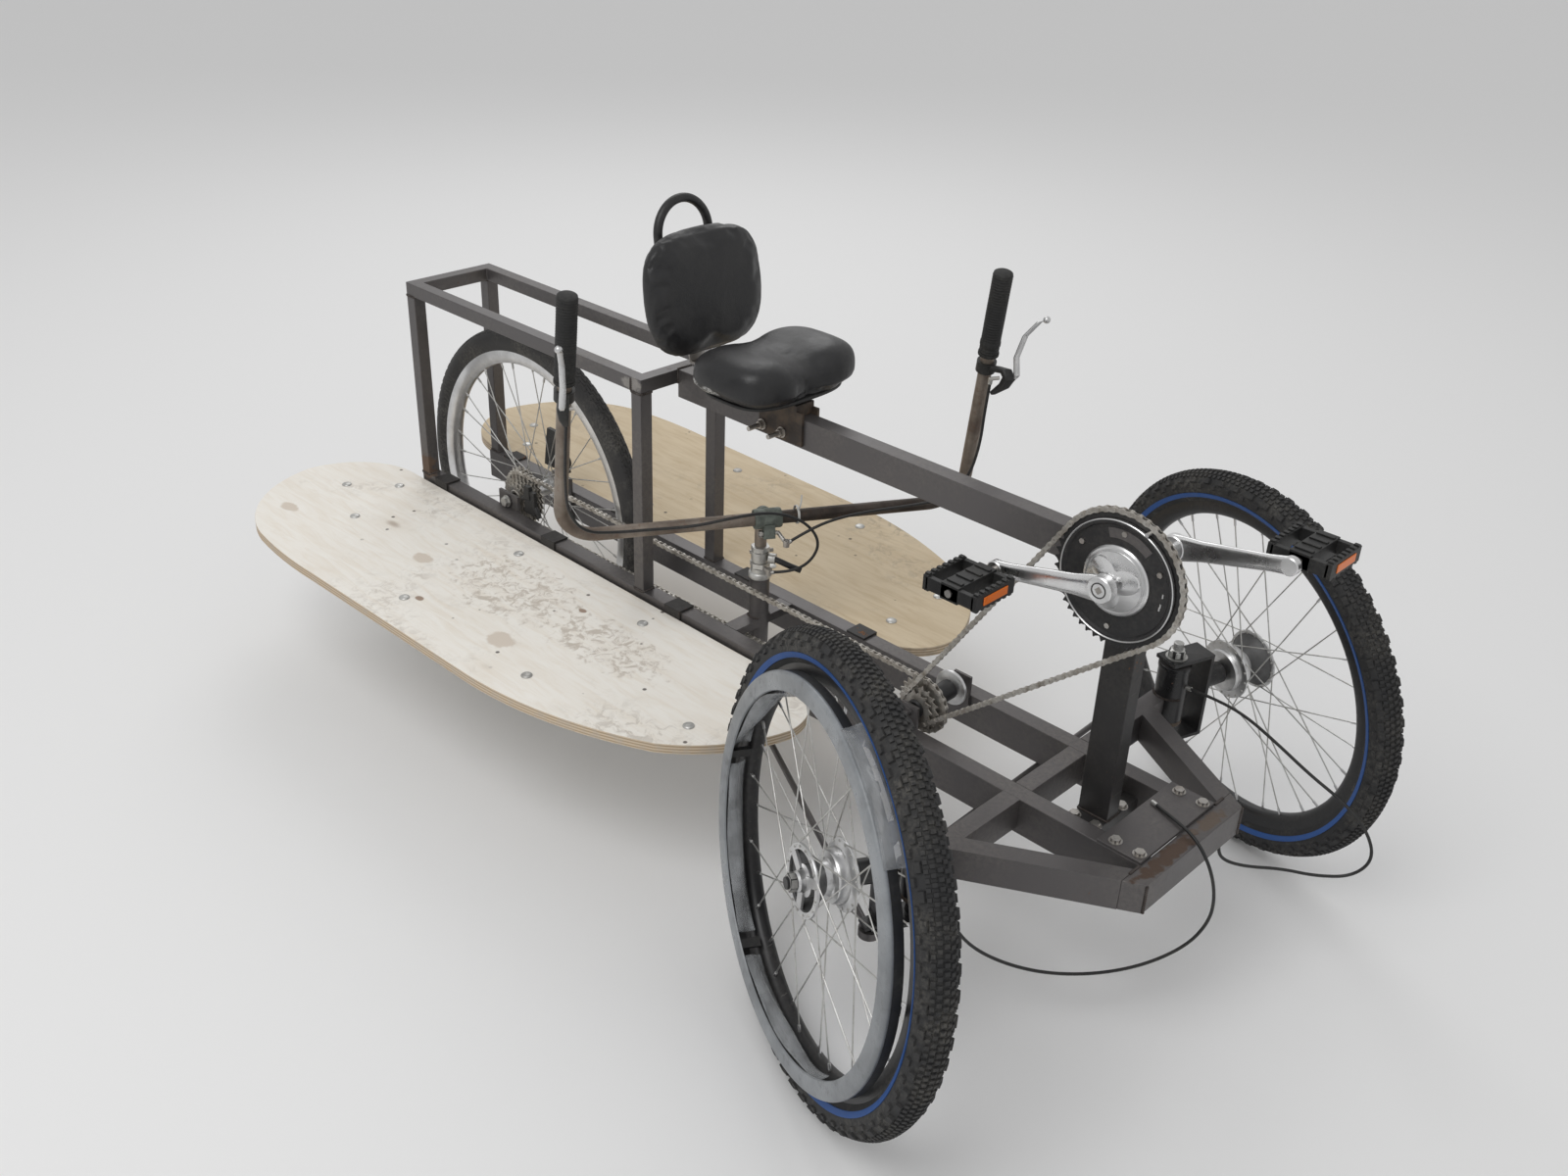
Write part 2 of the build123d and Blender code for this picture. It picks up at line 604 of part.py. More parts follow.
# Rear wheel
rear_plane = Plane(origin=(REAR_AXLE_X, 0, REAR_TYRE_R), x_dir=(1, 0, 0), z_dir=(0, 0, 1))
pieces["tyre_rear"] = make_tyre(rear_plane, REAR_TYRE_R, REAR_TYRE_HALF)
pieces["rim_rear"] = make_rim(rear_plane)
pieces["hub_rear"] = make_hub(rear_plane, ((34.0, 24.0), (-18.0, 24.0)), 16.0, (-22.0, 58.0), AXLE_R + RUNNING_GAP)

# Rear axle with its dropout plates on the rails
with BuildPart() as dropouts:
    for sign in (-1, 1):
        with BuildSketch(Plane.XZ.offset(-sign * (RAIL_INNER - 3))):
            with Locations((REAR_AXLE_X, (RAIL_TOP - RAIL_H + REAR_TYRE_R + 16) / 2)):
                Rectangle(60, REAR_TYRE_R + 16 - RAIL_TOP + RAIL_H)
        extrude(amount=3, both=True)
    with BuildSketch(Plane.XZ.offset(-(RAIL_INNER + 12))):
        with Locations((REAR_AXLE_X, REAR_TYRE_R)):
            Circle(AXLE_R)
    extrude(amount=2 * (RAIL_INNER + 12))
    for sign in (-1, 1):
        with BuildSketch(Plane.XZ.offset(-sign * (RAIL_INNER + 4))):
            with Locations((REAR_AXLE_X, REAR_TYRE_R)):
                RegularPolygon(9, 6)
        extrude(amount=4, both=True)
pieces["rear_axle_plates"] = dropouts.part


def sprocket(x, z, y, teeth, hole, thickness=2 * TOOTH_HALF):
    """Toothed plate about an axle along y."""
    root = pitch_radius(teeth) - 4.0
    tip = pitch_radius(teeth) + 2.4
    step = 360 / teeth
    points = []
    for index in range(teeth):
        for turn, radius in ((-0.32, root), (-0.12, tip), (0.12, tip), (0.32, root)):
            angle = radians((index + turn) * step)
            points.append((x + radius * cos(angle), z + radius * sin(angle)))
    with BuildPart() as plate:
        with BuildSketch(Plane.XZ.offset(-y - thickness / 2)):
            with BuildLine():
                Polyline(points, close=True)
            make_face()
            with Locations((x, z)):
                Circle(hole, mode=Mode.SUBTRACT)
        extrude(amount=thickness)
    return plate.part


def belt(first, second, grow):
    """Outline of a belt round two circles, each larger by grow than the pitch circle."""
    x1, z1, t1 = first
    x2, z2, t2 = second
    r1 = pitch_radius(t1) + grow
    r2 = pitch_radius(t2) + grow
    gap = hypot(x2 - x1, z2 - z1)
    base = atan2(z2 - z1, x2 - x1)
    swing = acos((r1 - r2) / gap)
    p = [(x + r * cos(base + s * swing), z + r * sin(base + s * swing))
         for x, z, r, s in ((x1, z1, r1, 1), (x2, z2, r2, 1), (x2, z2, r2, -1), (x1, z1, r1, -1))]
    far1 = (x1 - r1 * cos(base), z1 - r1 * sin(base))
    far2 = (x2 + r2 * cos(base), z2 + r2 * sin(base))
    with BuildSketch() as outline:
        with BuildLine():
            Line(p[0], p[1])
            ThreePointArc(p[1], far2, p[2])
            Line(p[2], p[3])
            ThreePointArc(p[3], far1, p[0])
        make_face()
    return outline.sketch


def chain_loop(y, first, second):
    """Chain round two sprockets, each given as (x, z, teeth): outer side plates and a back."""
    with BuildPart() as chain:
        with BuildSketch(Plane.XZ.offset(-y - CHAIN_HALF)):
            add(belt(first, second, CHAIN_OUT))
            add(belt(first, second, -CHAIN_IN), mode=Mode.SUBTRACT)
        extrude(amount=2 * CHAIN_HALF)
        with BuildSketch(Plane.XZ.offset(-y - CHAIN_HALF)):
            add(belt(first, second, CHAIN_BACK))
        extrude(amount=CHAIN_HALF + CHAIN_SLOT, mode=Mode.SUBTRACT)
    return chain.part


pieces["front_chain"] = chain_loop(CHAIN_Y, (BB_X, BB_Z, CHAINRING_TEETH), (JACK_X, JACK_Z, JACK_FRONT_TEETH))
pieces["rear_chain"] = chain_loop(REAR_CHAIN_Y, (JACK_X, JACK_Z, JACK_REAR_TEETH),
                                  (REAR_AXLE_X, REAR_TYRE_R, CASSETTE_TEETH))

# Cassette on the rear hub
with BuildPart() as cassette:
    add(sprocket(REAR_AXLE_X, REAR_TYRE_R, REAR_CHAIN_Y, CASSETTE_TEETH, AXLE_R + 6))
    for y, teeth in ((-26.0, 28), (-42.0, 19), (-50.0, 14)):
        with BuildSketch(Plane.XZ.offset(-y - TOOTH_HALF)):
            with Locations((REAR_AXLE_X, REAR_TYRE_R)):
                Circle(pitch_radius(teeth))
                Circle(AXLE_R + 6, mode=Mode.SUBTRACT)
        extrude(amount=2 * TOOTH_HALF)
    with BuildSketch(Plane.XZ.offset(22.3)):
        with Locations((REAR_AXLE_X, REAR_TYRE_R)):
            Circle(16)
            Circle(AXLE_R + 6, mode=Mode.SUBTRACT)
    extrude(amount=30)
pieces["cassette"] = cassette.part

# Jackshaft between the rails: axle on two brackets, shell with flanges and two sprockets
with BuildPart() as jack_axle:
    for sign in (-1, 1):
        with BuildSketch(Plane.XZ.offset(-sign * (RAIL_INNER - 2.5))):
            with Locations((JACK_X, (RAIL_TOP - 30 + JACK_Z + 14) / 2)):
                Rectangle(34, JACK_Z + 14 - RAIL_TOP + 30)
        extrude(amount=2.5, both=True)
    with BuildSketch(Plane.XZ.offset(-(RAIL_INNER + 9))):
        with Locations((JACK_X, JACK_Z)):
            Circle(AXLE_R)
    extrude(amount=2 * (RAIL_INNER + 9))
pieces["jackshaft_axle"] = jack_axle.part

with BuildPart() as jackshaft:
    with BuildSketch(Plane.XZ.offset(-46)):
        with Locations((JACK_X, JACK_Z)):
            Circle(17)
            Circle(AXLE_R + RUNNING_GAP, mode=Mode.SUBTRACT)
    extrude(amount=46 + 56)
    for y in (-16.0, 36.0):
        with BuildSketch(Plane.XZ.offset(-y - 2)):
            with Locations((JACK_X, JACK_Z)):
                Circle(30)
                Circle(AXLE_R + RUNNING_GAP, mode=Mode.SUBTRACT)
        extrude(amount=4)
    add(sprocket(JACK_X, JACK_Z, CHAIN_Y, JACK_FRONT_TEETH, AXLE_R + RUNNING_GAP))
    add(sprocket(JACK_X, JACK_Z, REAR_CHAIN_Y, JACK_REAR_TEETH, AXLE_R + RUNNING_GAP))
pieces["jackshaft"] = jackshaft.part

# Crankset
right_end = (BB_X - CRANK * cos(radians(CRANK_ANGLE)), BB_Z - CRANK * sin(radians(CRANK_ANGLE)))
left_end = (2 * BB_X - right_end[0], 2 * BB_Z - right_end[1])
with BuildPart() as chainring:
    add(sprocket(BB_X, BB_Z, CHAIN_Y, CHAINRING_TEETH, AXLE_R + 3))
    with BuildSketch(Plane.XZ.offset(-CHAIN_Y - 4)):
        with Locations((BB_X, BB_Z)):
            Circle(60)
            Circle(AXLE_R + 3, mode=Mode.SUBTRACT)
    extrude(amount=16)
pieces["chainring"] = chainring.part

with BuildPart() as cranks:
    with BuildSketch(Plane.XZ.offset(-CRANK_Y)):
        with Locations((BB_X, BB_Z)):
            Circle(AXLE_R + 2.99)
    extrude(amount=2 * CRANK_Y)
    for sign, end in ((-1, right_end), (1, left_end)):
        angle = degrees(atan2(end[1] - BB_Z, end[0] - BB_X))
        with BuildSketch(Plane.XZ.offset(-sign * CRANK_Y - 7)):
            with BuildLine():
                u = Vector(cos(radians(angle)), sin(radians(angle)))
                v = Vector(-u.Y, u.X)
                o = Vector(BB_X, BB_Z)
                e = Vector(*end)
                Line(o + v * 19, e + v * 13)
                ThreePointArc(e + v * 13, e + u * 13, e - v * 13)
                Line(e - v * 13, o - v * 19)
                ThreePointArc(o - v * 19, o - u * 19, o + v * 19)
            make_face()
        extrude(amount=14)
        with BuildSketch(Plane.XZ.offset(-sign * (CRANK_Y + 7))):
            with Locations(end):
                Circle(6)
        extrude(amount=-sign * 96)
pieces["cranks"] = cranks.part

# Pedals, level, with reflectors front and back
for side, sign, end in (("right", -1, right_end), ("left", 1, left_end)):
    y_mid = sign * PEDAL_Y
    with BuildPart() as pedal:
        with BuildSketch(Plane.XY.offset(end[1] - 14)):
            with Locations((end[0], y_mid)):
                Rectangle(92, 84)
                Rectangle(72, 64, mode=Mode.SUBTRACT)
                Rectangle(26, 84)
        extrude(amount=28)
        with BuildSketch(Plane.XZ.offset(-y_mid - 45)):
            with Locations(end):
                Circle(6 + RUNNING_GAP)
        extrude(amount=90, mode=Mode.SUBTRACT)
    pieces["pedal_" + side] = pedal.part

# Saddle, backrest, loop handle, bracket and clamp
with BuildPart() as saddle:
    with BuildSketch(Plane.XY.offset(SADDLE_BOTTOM)):
        with Locations((SEAT_X, 0)):
            RectangleRounded(SADDLE_LENGTH, SADDLE_WIDTH, 70)
    extrude(amount=SADDLE_TOP - SADDLE_BOTTOM)
    fillet(saddle.faces().sort_by(Axis.Z)[-1].edges(), 24)
pieces["saddle"] = saddle.part

back_plane = Plane(origin=(BACK_X, 0, BACK_Z), x_dir=(0, 1, 0),
                   z_dir=(cos(radians(BACK_LEAN)), 0, sin(radians(BACK_LEAN))))
with BuildPart() as backrest:
    with BuildSketch(back_plane.offset(-BACK_T / 2)):
        RectangleRounded(BACK_W, BACK_H, 78)
    extrude(amount=BACK_T)
    fillet(backrest.faces().sort_by(Axis((0, 0, 0), back_plane.z_dir))[-1].edges(), 18)
pieces["backrest"] = backrest.part


def back_point(across, up, out):
    """A point of the backrest's own frame in the model."""
    return back_plane.from_local_coords(Vector(across, up, out))


loop_out = -BACK_T / 2 - LOOP_TUBE_R - SEAT_GAP
with BuildPart() as loop:
    with BuildLine():
        leg_low = -60.0
        leg_top = 90.0
        Line(back_point(-LOOP_R, leg_low, loop_out), back_point(-LOOP_R, leg_top, loop_out))
        ThreePointArc(back_point(-LOOP_R, leg_top, loop_out), back_point(0, leg_top + LOOP_R, loop_out),
                      back_point(LOOP_R, leg_top, loop_out))
        Line(back_point(LOOP_R, leg_top, loop_out), back_point(LOOP_R, leg_low, loop_out))
    with BuildSketch(Plane(origin=back_point(-LOOP_R, leg_low, loop_out), z_dir=back_plane.y_dir)):
        Circle(LOOP_TUBE_R)
    sweep()
pieces["loop_handle"] = loop.part

# Bent steel strip from under the saddle to the back of the backrest
with BuildPart() as strip:
    with BuildSketch(Plane.XZ.offset(-17)):
        back_low = back_point(0, -60, -BACK_T / 2 - SEAT_GAP)
        out = back_plane.z_dir * -4
        with BuildLine():
            Polyline([(SEAT_X + 20, SADDLE_BOTTOM - SEAT_GAP), (BACK_X - 8, SADDLE_BOTTOM - SEAT_GAP),
                      (back_low.X, back_low.Z - 30), (back_low.X, back_low.Z),
                      (back_low.X + out.X, back_low.Z + out.Z), (back_low.X - 4, back_low.Z - 32),
                      (BACK_X - 10, SADDLE_BOTTOM - SEAT_GAP - 4), (SEAT_X + 20, SADDLE_BOTTOM - SEAT_GAP - 4)],
                     close=True)
        make_face()
    extrude(amount=34)
pieces["seat_strip"] = strip.part

with BuildPart() as clamp:
    for sign in (-1, 1):
        with BuildSketch(Plane.XZ.offset(-sign * (TUBE_W / 2 + CLAMP_T / 2))):
            with Locations((SEAT_X + 35, CAGE_TOP - 17)):
                Rectangle(95, 56)
        extrude(amount=CLAMP_T / 2, both=True)
    with BuildSketch(Plane.XY.offset(CAGE_TOP)):
        with Locations((SEAT_X + 35, 0)):
            Rectangle(70, TUBE_W + 2 * CLAMP_T)
    extrude(amount=SADDLE_BOTTOM - 4 - 2 * SEAT_GAP - CAGE_TOP)
pieces["seat_clamp"] = clamp.part

# Tie rod between the knuckles and drag link to the right knuckle
def link(start, end, z, radius, eye):
    """Rod with a close eye at its start and a loose one at its end, level at height z."""
    along = (Vector(end[0], end[1], 0) - Vector(start[0], start[1], 0))
    unit = along.normalized()
    with BuildPart() as bar:
        origin = Vector(start[0], start[1], z) + unit * (eye - 2)
        with BuildSketch(Plane(origin=origin, z_dir=unit)):
            Circle(radius)
        extrude(amount=along.length - 2 * (eye - 2))
        with BuildSketch(Plane.XY.offset(z - radius - 1)):
            with Locations(start):
                Circle(eye)
            with Locations(end):
                Circle(eye + LOOSE_GAP)
        extrude(amount=2 * radius + 2)
        with BuildSketch(Plane.XY.offset(z - radius - 1)):
            with Locations(start):
                Circle(ROD_PIN_R + RUNNING_GAP)
            with Locations(end):
                Circle(ROD_PIN_R + LOOSE_GAP)
        extrude(amount=2 * radius + 2, mode=Mode.SUBTRACT)
    return bar.part


def knuckle_point(sign, back, out):
    """Plan position of a point of a knuckle, back of its kingpin and outboard of it."""
    point = steering_plane(sign).from_local_coords(Vector(-back, sign * out, 0))
    return (point.X, point.Y)


tie_right = knuckle_point(-1, TIE_ARM_BACK, -TIE_ARM_IN)
tie_left = knuckle_point(1, TIE_ARM_BACK, -TIE_ARM_IN)
pieces["tie_rod"] = link(tie_right, tie_left, TIE_ROD_Z, ROD_R, EYE_R)
pitman_end = bar_point(0, -PITMAN, 0)
drag_right = knuckle_point(-1, 0, DRAG_ARM)
pieces["drag_link"] = link((pitman_end.X, pitman_end.Y), drag_right, DRAG_LINK_Z, ROD_R, EYE_R)

# Cables, each a tube along straight runs joined by wide arcs
CORD_R = 2.5


def cord(name, points):
    """Tube along a route, each corner with an arc as wide as its runs allow."""
    points = [Vector(*point) for point in points]
    runs = [b - a for a, b in zip(points, points[1:])]
    radii = [0.45 * min(a.length, b.length) / tan(radians(a.get_angle(b)) / 2) for a, b in zip(runs, runs[1:])]
    with BuildPart() as tube:
        with BuildLine() as path:
            FilletPolyline(points, radius=radii)
        with BuildSketch(Plane(origin=points[0], z_dir=runs[0].normalized())):
            Circle(CORD_R)
        sweep()
    length = sum(edge.length for edge in path.edges())
    print(name, "runs", [round(run.length) for run in runs], "radii", [round(r) for r in radii], "length",
          round(length), "volume ratio", round(tube.part.volume / (pi * CORD_R**2 * length), 4))
    return tube.part


def lever_exit(sign):
    """Underside of a brake lever's body, where its cable leaves, and the way down its upright."""
    down = (bar_point(BAR_REACH, sign * BAR_HALF, BAR_Z) - bar_point(*ends["right" if sign < 0 else "left"])).normalized()
    top = bar_point(*ends["right" if sign < 0 else "left"])
    return top + down * (GRIP_L + 32) + bar_plane.x_dir * 26, down


exit_right, down_right = lever_exit(-1)
BAR_SIDE = BAR_REACH + BAR_R + CORD_R + 3  # cables run just ahead of the bar
pieces["cable_right"] = cord("cable_right", [
    exit_right, exit_right + down_right * 60, exit_right + down_right * 125 + bar_plane.x_dir * 6,
    bar_point(BAR_REACH + 44, -BAR_HALF + 8, BAR_Z + 66), bar_point(BAR_REACH + 34, -BAR_HALF + 34, BAR_Z + 22),
    bar_point(BAR_SIDE + 8, -BAR_HALF + 86, BAR_Z + 12), bar_point(BAR_SIDE + 2, -BAR_HALF + 150, BAR_Z + 8),
    bar_point(BAR_SIDE + 7, -BAR_HALF + 215, BAR_Z + 9), bar_point(BAR_SIDE + 6, -BAR_HALF + 280, BAR_Z + 18),
    bar_point(BAR_SIDE + 4, -BAR_HALF + 345, BAR_Z + 22), bar_point(BAR_SIDE + 8, -BAR_HALF + 400, BAR_Z + 2),
    bar_point(BAR_SIDE + 14, -BAR_HALF + 428, BAR_Z - 36), bar_point(BAR_SIDE + 8, -BAR_HALF + 416, BAR_Z - 76),
    bar_point(BAR_SIDE - 4, -BAR_HALF + 384, BAR_Z - 100), bar_point(26, -BAR_HALF + 352, BAR_Z - 108)])
exit_left, down_left = lever_exit(1)
pieces["cable_left"] = cord("cable_left", [
    exit_left, exit_left + down_left * 62, exit_left + down_left * 128 + bar_plane.x_dir * 7,
    bar_point(BAR_REACH + 46, BAR_HALF - 10, BAR_Z + 64), bar_point(BAR_REACH + 34, BAR_HALF - 42, BAR_Z + 22),
    bar_point(BAR_SIDE + 6, BAR_HALF - 98, BAR_Z + 10), bar_point(BAR_SIDE + 4, BAR_HALF - 162, BAR_Z + 6),
    bar_point(BAR_SIDE + 8, BAR_HALF - 222, BAR_Z + 2), bar_point(BAR_SIDE + 18, BAR_HALF - 276, BAR_Z - 8),
    bar_point(BAR_SIDE + 16, BAR_HALF - 318, BAR_Z - 34)])

# The two brake lines that hang loose in front, from the plate to the kingpin housings
plate_z = RAIL_TOP + PLATE_T + CORD_R
pieces["brake_line_right"] = cord("brake_line_right", [
    (PLATE_X0 + 8, 30, plate_z), (196, 14, plate_z + 2), (238, -4, plate_z + 3), (266, -2, plate_z - 34),
    (274, 12, plate_z - 88), (268, 24, plate_z - 142), (250, 10, plate_z - 190), (214, -36, plate_z - 222),
    (172, -92, plate_z - 232), (130, -152, plate_z - 222), (94, -208, plate_z - 194), (66, -262, plate_z - 148),
    (50, -296, plate_z - 96), (46, -310, plate_z - 46), (HOUSING_R + 1, -KINGPIN_Y, plate_z - 18)])
pieces["brake_line_left"] = cord("brake_line_left", [
    (FRONT_TUBE_X, 106, RAIL_TOP - TUBE_H), (FRONT_TUBE_X, 107, RAIL_TOP - TUBE_H - 28),
    (FRONT_TUBE_X + 8, 120, RAIL_TOP - 100), (252, 152, RAIL_TOP - 116), (284, 204, RAIL_TOP - 130),
    (322, 244, RAIL_TOP - 144), (364, 276, RAIL_TOP - 138),
    (386, 282, RAIL_TOP - 96), (366, 280, RAIL_TOP - 52), (322, 280, RAIL_TOP - 24), (266, 280, RAIL_TOP - 6),
    (204, 284, RAIL_TOP + 18), (142, 296, RAIL_TOP + 32), (84, 308, RAIL_TOP + 30),
    (HOUSING_R + 1, KINGPIN_Y, RAIL_TOP + 22)])

# Move the model so that its origin is the middle of its footprint, and write it
everything = Compound(children=[Part(piece.wrapped) for piece in pieces.values()])
box = everything.bounding_box()
origin = Vector(box.center().X, box.center().Y, 0)
os.makedirs("parts", exist_ok=True)
for name, piece in pieces.items():
    moved = piece.moved(Location(-origin))
    moved.label = name
    export_step(moved, "parts/" + name + ".step")
print("origin", round(origin.X, 3), round(origin.Y, 3), "low", round(box.min.Z, 3))
anchors = {
    "stem": Vector(STEM_X, 0, HEAD_TOP),
    "kingpin_right": Vector(0, -KINGPIN_Y, HOUSING_TOP),
    "kingpin_left": Vector(0, KINGPIN_Y, HOUSING_TOP),
    "wheel_right": wheel_plane(-1).origin,
    "wheel_left": wheel_plane(1).origin,
    "axle_right": wheel_plane(-1).y_dir,
    "axle_left": wheel_plane(1).y_dir,
    "wheel_rear": rear_plane.origin,
    "crank": Vector(BB_X, 0, BB_Z),
    "pedal_right": Vector(right_end[0], -PEDAL_Y, right_end[1]),
    "pedal_left": Vector(left_end[0], PEDAL_Y, left_end[1]),
    "jackshaft": Vector(JACK_X, 0, JACK_Z),
    "tie_right": Vector(*tie_right, TIE_ROD_Z),
    "tie_left": Vector(*tie_left, TIE_ROD_Z),
    "drag_stem": Vector(pitman_end.X, pitman_end.Y, DRAG_LINK_Z),
    "drag_right": Vector(*drag_right, DRAG_LINK_Z),
}
for name, point in anchors.items():
    place = point if name.startswith("axle") else (point - origin) / 1000
    print(name, round(place.X, 5), round(place.Y, 5), round(place.Z, 5))
print("size", [round(v, 2) for v in (box.size.X, box.size.Y, box.size.Z)])
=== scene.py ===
"""Home-built recumbent trike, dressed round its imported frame.

Two steered front wheels, one driven rear wheel in a square-tube cage, a padded seat
on a boom, an upright handlebar and a plywood board on each side.

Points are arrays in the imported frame's metres. Sizes are in millimetres, and so are
places in the trike's own frame, where x points forward from the kingpins, y to the
rider's left and z up from the floor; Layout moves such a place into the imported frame.
Materials, lamps, cables and the pads' voxels are in metres.
"""

from __future__ import annotations

import json
import logging
import math
from dataclasses import dataclass, replace
from enum import Enum

import bmesh
import bpy
import numpy as np
from mathutils import Matrix, Vector

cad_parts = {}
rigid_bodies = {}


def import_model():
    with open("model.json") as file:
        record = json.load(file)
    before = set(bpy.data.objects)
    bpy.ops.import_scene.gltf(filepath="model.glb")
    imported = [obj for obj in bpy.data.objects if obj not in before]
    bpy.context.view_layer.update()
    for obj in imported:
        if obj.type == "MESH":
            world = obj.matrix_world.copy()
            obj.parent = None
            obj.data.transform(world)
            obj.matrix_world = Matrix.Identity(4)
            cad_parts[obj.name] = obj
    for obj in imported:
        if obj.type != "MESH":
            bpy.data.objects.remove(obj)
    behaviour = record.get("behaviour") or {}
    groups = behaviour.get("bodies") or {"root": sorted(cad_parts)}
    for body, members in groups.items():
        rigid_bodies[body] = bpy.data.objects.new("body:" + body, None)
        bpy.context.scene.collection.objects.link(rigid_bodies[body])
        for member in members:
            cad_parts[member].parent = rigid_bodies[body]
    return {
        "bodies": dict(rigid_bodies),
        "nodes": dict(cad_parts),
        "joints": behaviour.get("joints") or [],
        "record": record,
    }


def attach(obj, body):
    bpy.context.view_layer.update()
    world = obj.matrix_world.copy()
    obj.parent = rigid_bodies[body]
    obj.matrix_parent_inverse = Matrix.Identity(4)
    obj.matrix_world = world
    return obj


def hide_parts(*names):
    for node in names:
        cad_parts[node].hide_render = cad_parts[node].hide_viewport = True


LOG = logging.getLogger("trike")
MM = 0.001
LEFT = np.array((0.0, 1.0, 0.0))
UP = np.array((0.0, 0.0, 1.0))
SAME_POINT = 1e-6
EDGE_ANGLE = math.radians(40.0)
Colour = tuple[float, float, float]
Point = tuple[float, float, float]
Profile = tuple[tuple[float, float], ...]
Faces = list[tuple[int, ...]]
Finishes = list[bpy.types.Material]
Socket = bpy.types.NodeSocket


class Side(Enum):
    """A side of the trike, with the sign of its y."""

    RIGHT = -1
    LEFT = 1

    @property
    def label(self) -> str:
        """The side's name as the frame's nodes and bodies use it."""
        return self.name.lower()


# Places


def unit(vectors: np.ndarray) -> np.ndarray:
    """Each vector divided by its length."""
    return vectors / np.linalg.norm(vectors, axis=-1, keepdims=True)


@dataclass(frozen=True)
class Spindle:
    """A turning axis: its origin, its direction and two directions across it."""

    origin: np.ndarray
    axis: np.ndarray
    ahead: np.ndarray
    up: np.ndarray

    @classmethod
    def along(cls, origin: Point, axis: Point, ahead: Point = (1.0, 0.0, 0.0)) -> Spindle:
        """Make a spindle from an axis and a rough forward direction.

        Args:
            origin: a point on the axis.
            axis: the axis direction, of any length.
            ahead: a direction that isn't along the axis.

        Returns:
            The spindle with three unit directions at right angles.
        """
        way = unit(np.array(axis, float))
        front = unit(np.array(ahead, float) - way * np.dot(way, ahead))
        return cls(np.array(origin, float), way, front, np.cross(front, way))

    def outward(self, angle: np.ndarray) -> np.ndarray:
        """Unit directions across the axis, at an angle from ahead towards up."""
        return np.cos(angle)[..., None] * self.ahead + np.sin(angle)[..., None] * self.up

    def ring(self, radius: np.ndarray, angle: np.ndarray, offset: np.ndarray) -> np.ndarray:
        """Points at a radius, an angle from ahead towards up, and an offset along the axis.

        Args:
            radius: millimetres from the axis.
            angle: radians.
            offset: millimetres along the axis.

        Returns:
            Array of the three arguments' common shape, with x, y and z last.
        """
        radius, angle, offset = np.broadcast_arrays(radius, angle, offset)
        return self.origin + MM * (radius[..., None] * self.outward(angle) + offset[..., None] * self.axis)


class Layout:
    """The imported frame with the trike's own coordinates laid over it."""

    column_x = -630.0

    def __init__(self, frame: dict) -> None:
        """Keep the nodes and joints, and find the trike's origin from the steering column."""
        self.nodes = frame["nodes"]
        self.joints = {joint["name"]: joint for joint in frame["joints"]}
        column = self.joints["handlebar_turn"]["pos_m"]
        self.shift = np.array([column[0] - MM * self.column_x, column[1], 0.0])

    def path(self, places: list[Point]) -> np.ndarray:
        """Places of the trike's own frame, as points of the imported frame."""
        return np.array(places, float) * MM + self.shift

    def at(self, x: float, y: float, z: float) -> np.ndarray:
        """One place of the trike's own frame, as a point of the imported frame."""
        return self.path([x, y, z])

    def spot(self, x: float, y: float, z: float) -> Point:
        """The same as a tuple of three numbers."""
        return tuple(self.at(x, y, z))

    def across(self, joint: str) -> Spindle:
        """An axis along y through a joint's place, with ahead along x and up along z."""
        return Spindle.along(self.joints[joint]["pos_m"], LEFT)

    def front_wheel(self, side: Side) -> Spindle:
        """A front wheel's axis: outboard, with ahead and up as the wheel stands."""
        joint = self.joints[f"wheel_{side.label}_spin"]
        base = Spindle.along(joint["pos_m"], side.value * np.array(joint["axis"]))
        return replace(base, up=side.value * base.up)


# Paths and profiles


def circle(sides: int) -> np.ndarray:
    """A round profile of unit radius: (cos a, sin a) for equal steps of a."""
    angle = np.arange(sides) * 2 * np.pi / sides
    return np.stack([np.cos(angle), np.sin(angle)], 1)


def rounded(width: float, height: float, corner: float, steps: int = 4) -> np.ndarray:
    """A rectangle with round corners: a quarter circle about each corner's centre.

    Args:
        width: its whole width.
        height: its whole height.
        corner: radius of the corners.
        steps: edges of one corner.

    Returns:
        Array (points, 2), anticlockwise.
    """
    turn = np.linspace(0, np.pi / 2, steps + 1)
    angle = np.concatenate([turn + quarter * np.pi / 2 for quarter in range(4)])
    centre = np.array([(1, 1), (-1, 1), (-1, -1), (1, -1)], float)
    centre *= (width / 2 - corner, height / 2 - corner)
    return np.repeat(centre, steps + 1, 0) + corner * np.stack([np.cos(angle), np.sin(angle)], 1)


def directions(path: np.ndarray) -> tuple[np.ndarray, np.ndarray]:
    """Two directions across a path at each point, turned as little as possible along it.

    Args:
        path: array (n, 3).

    Returns:
        Two arrays (n, 3) of unit vectors, at right angles to the path and to each other.
    """
    tangent = unit(np.gradient(path, axis=0))
    first = np.cross(tangent[0], UP)
    if np.linalg.norm(first) < 1e-3:
        first = np.cross(tangent[0], LEFT)
    right = np.zeros_like(path)
    right[0] = unit(first)
    for i in range(1, len(path)):
        right[i] = unit(right[i - 1] - tangent[i] * np.dot(right[i - 1], tangent[i]))
    return right, np.cross(right, tangent)


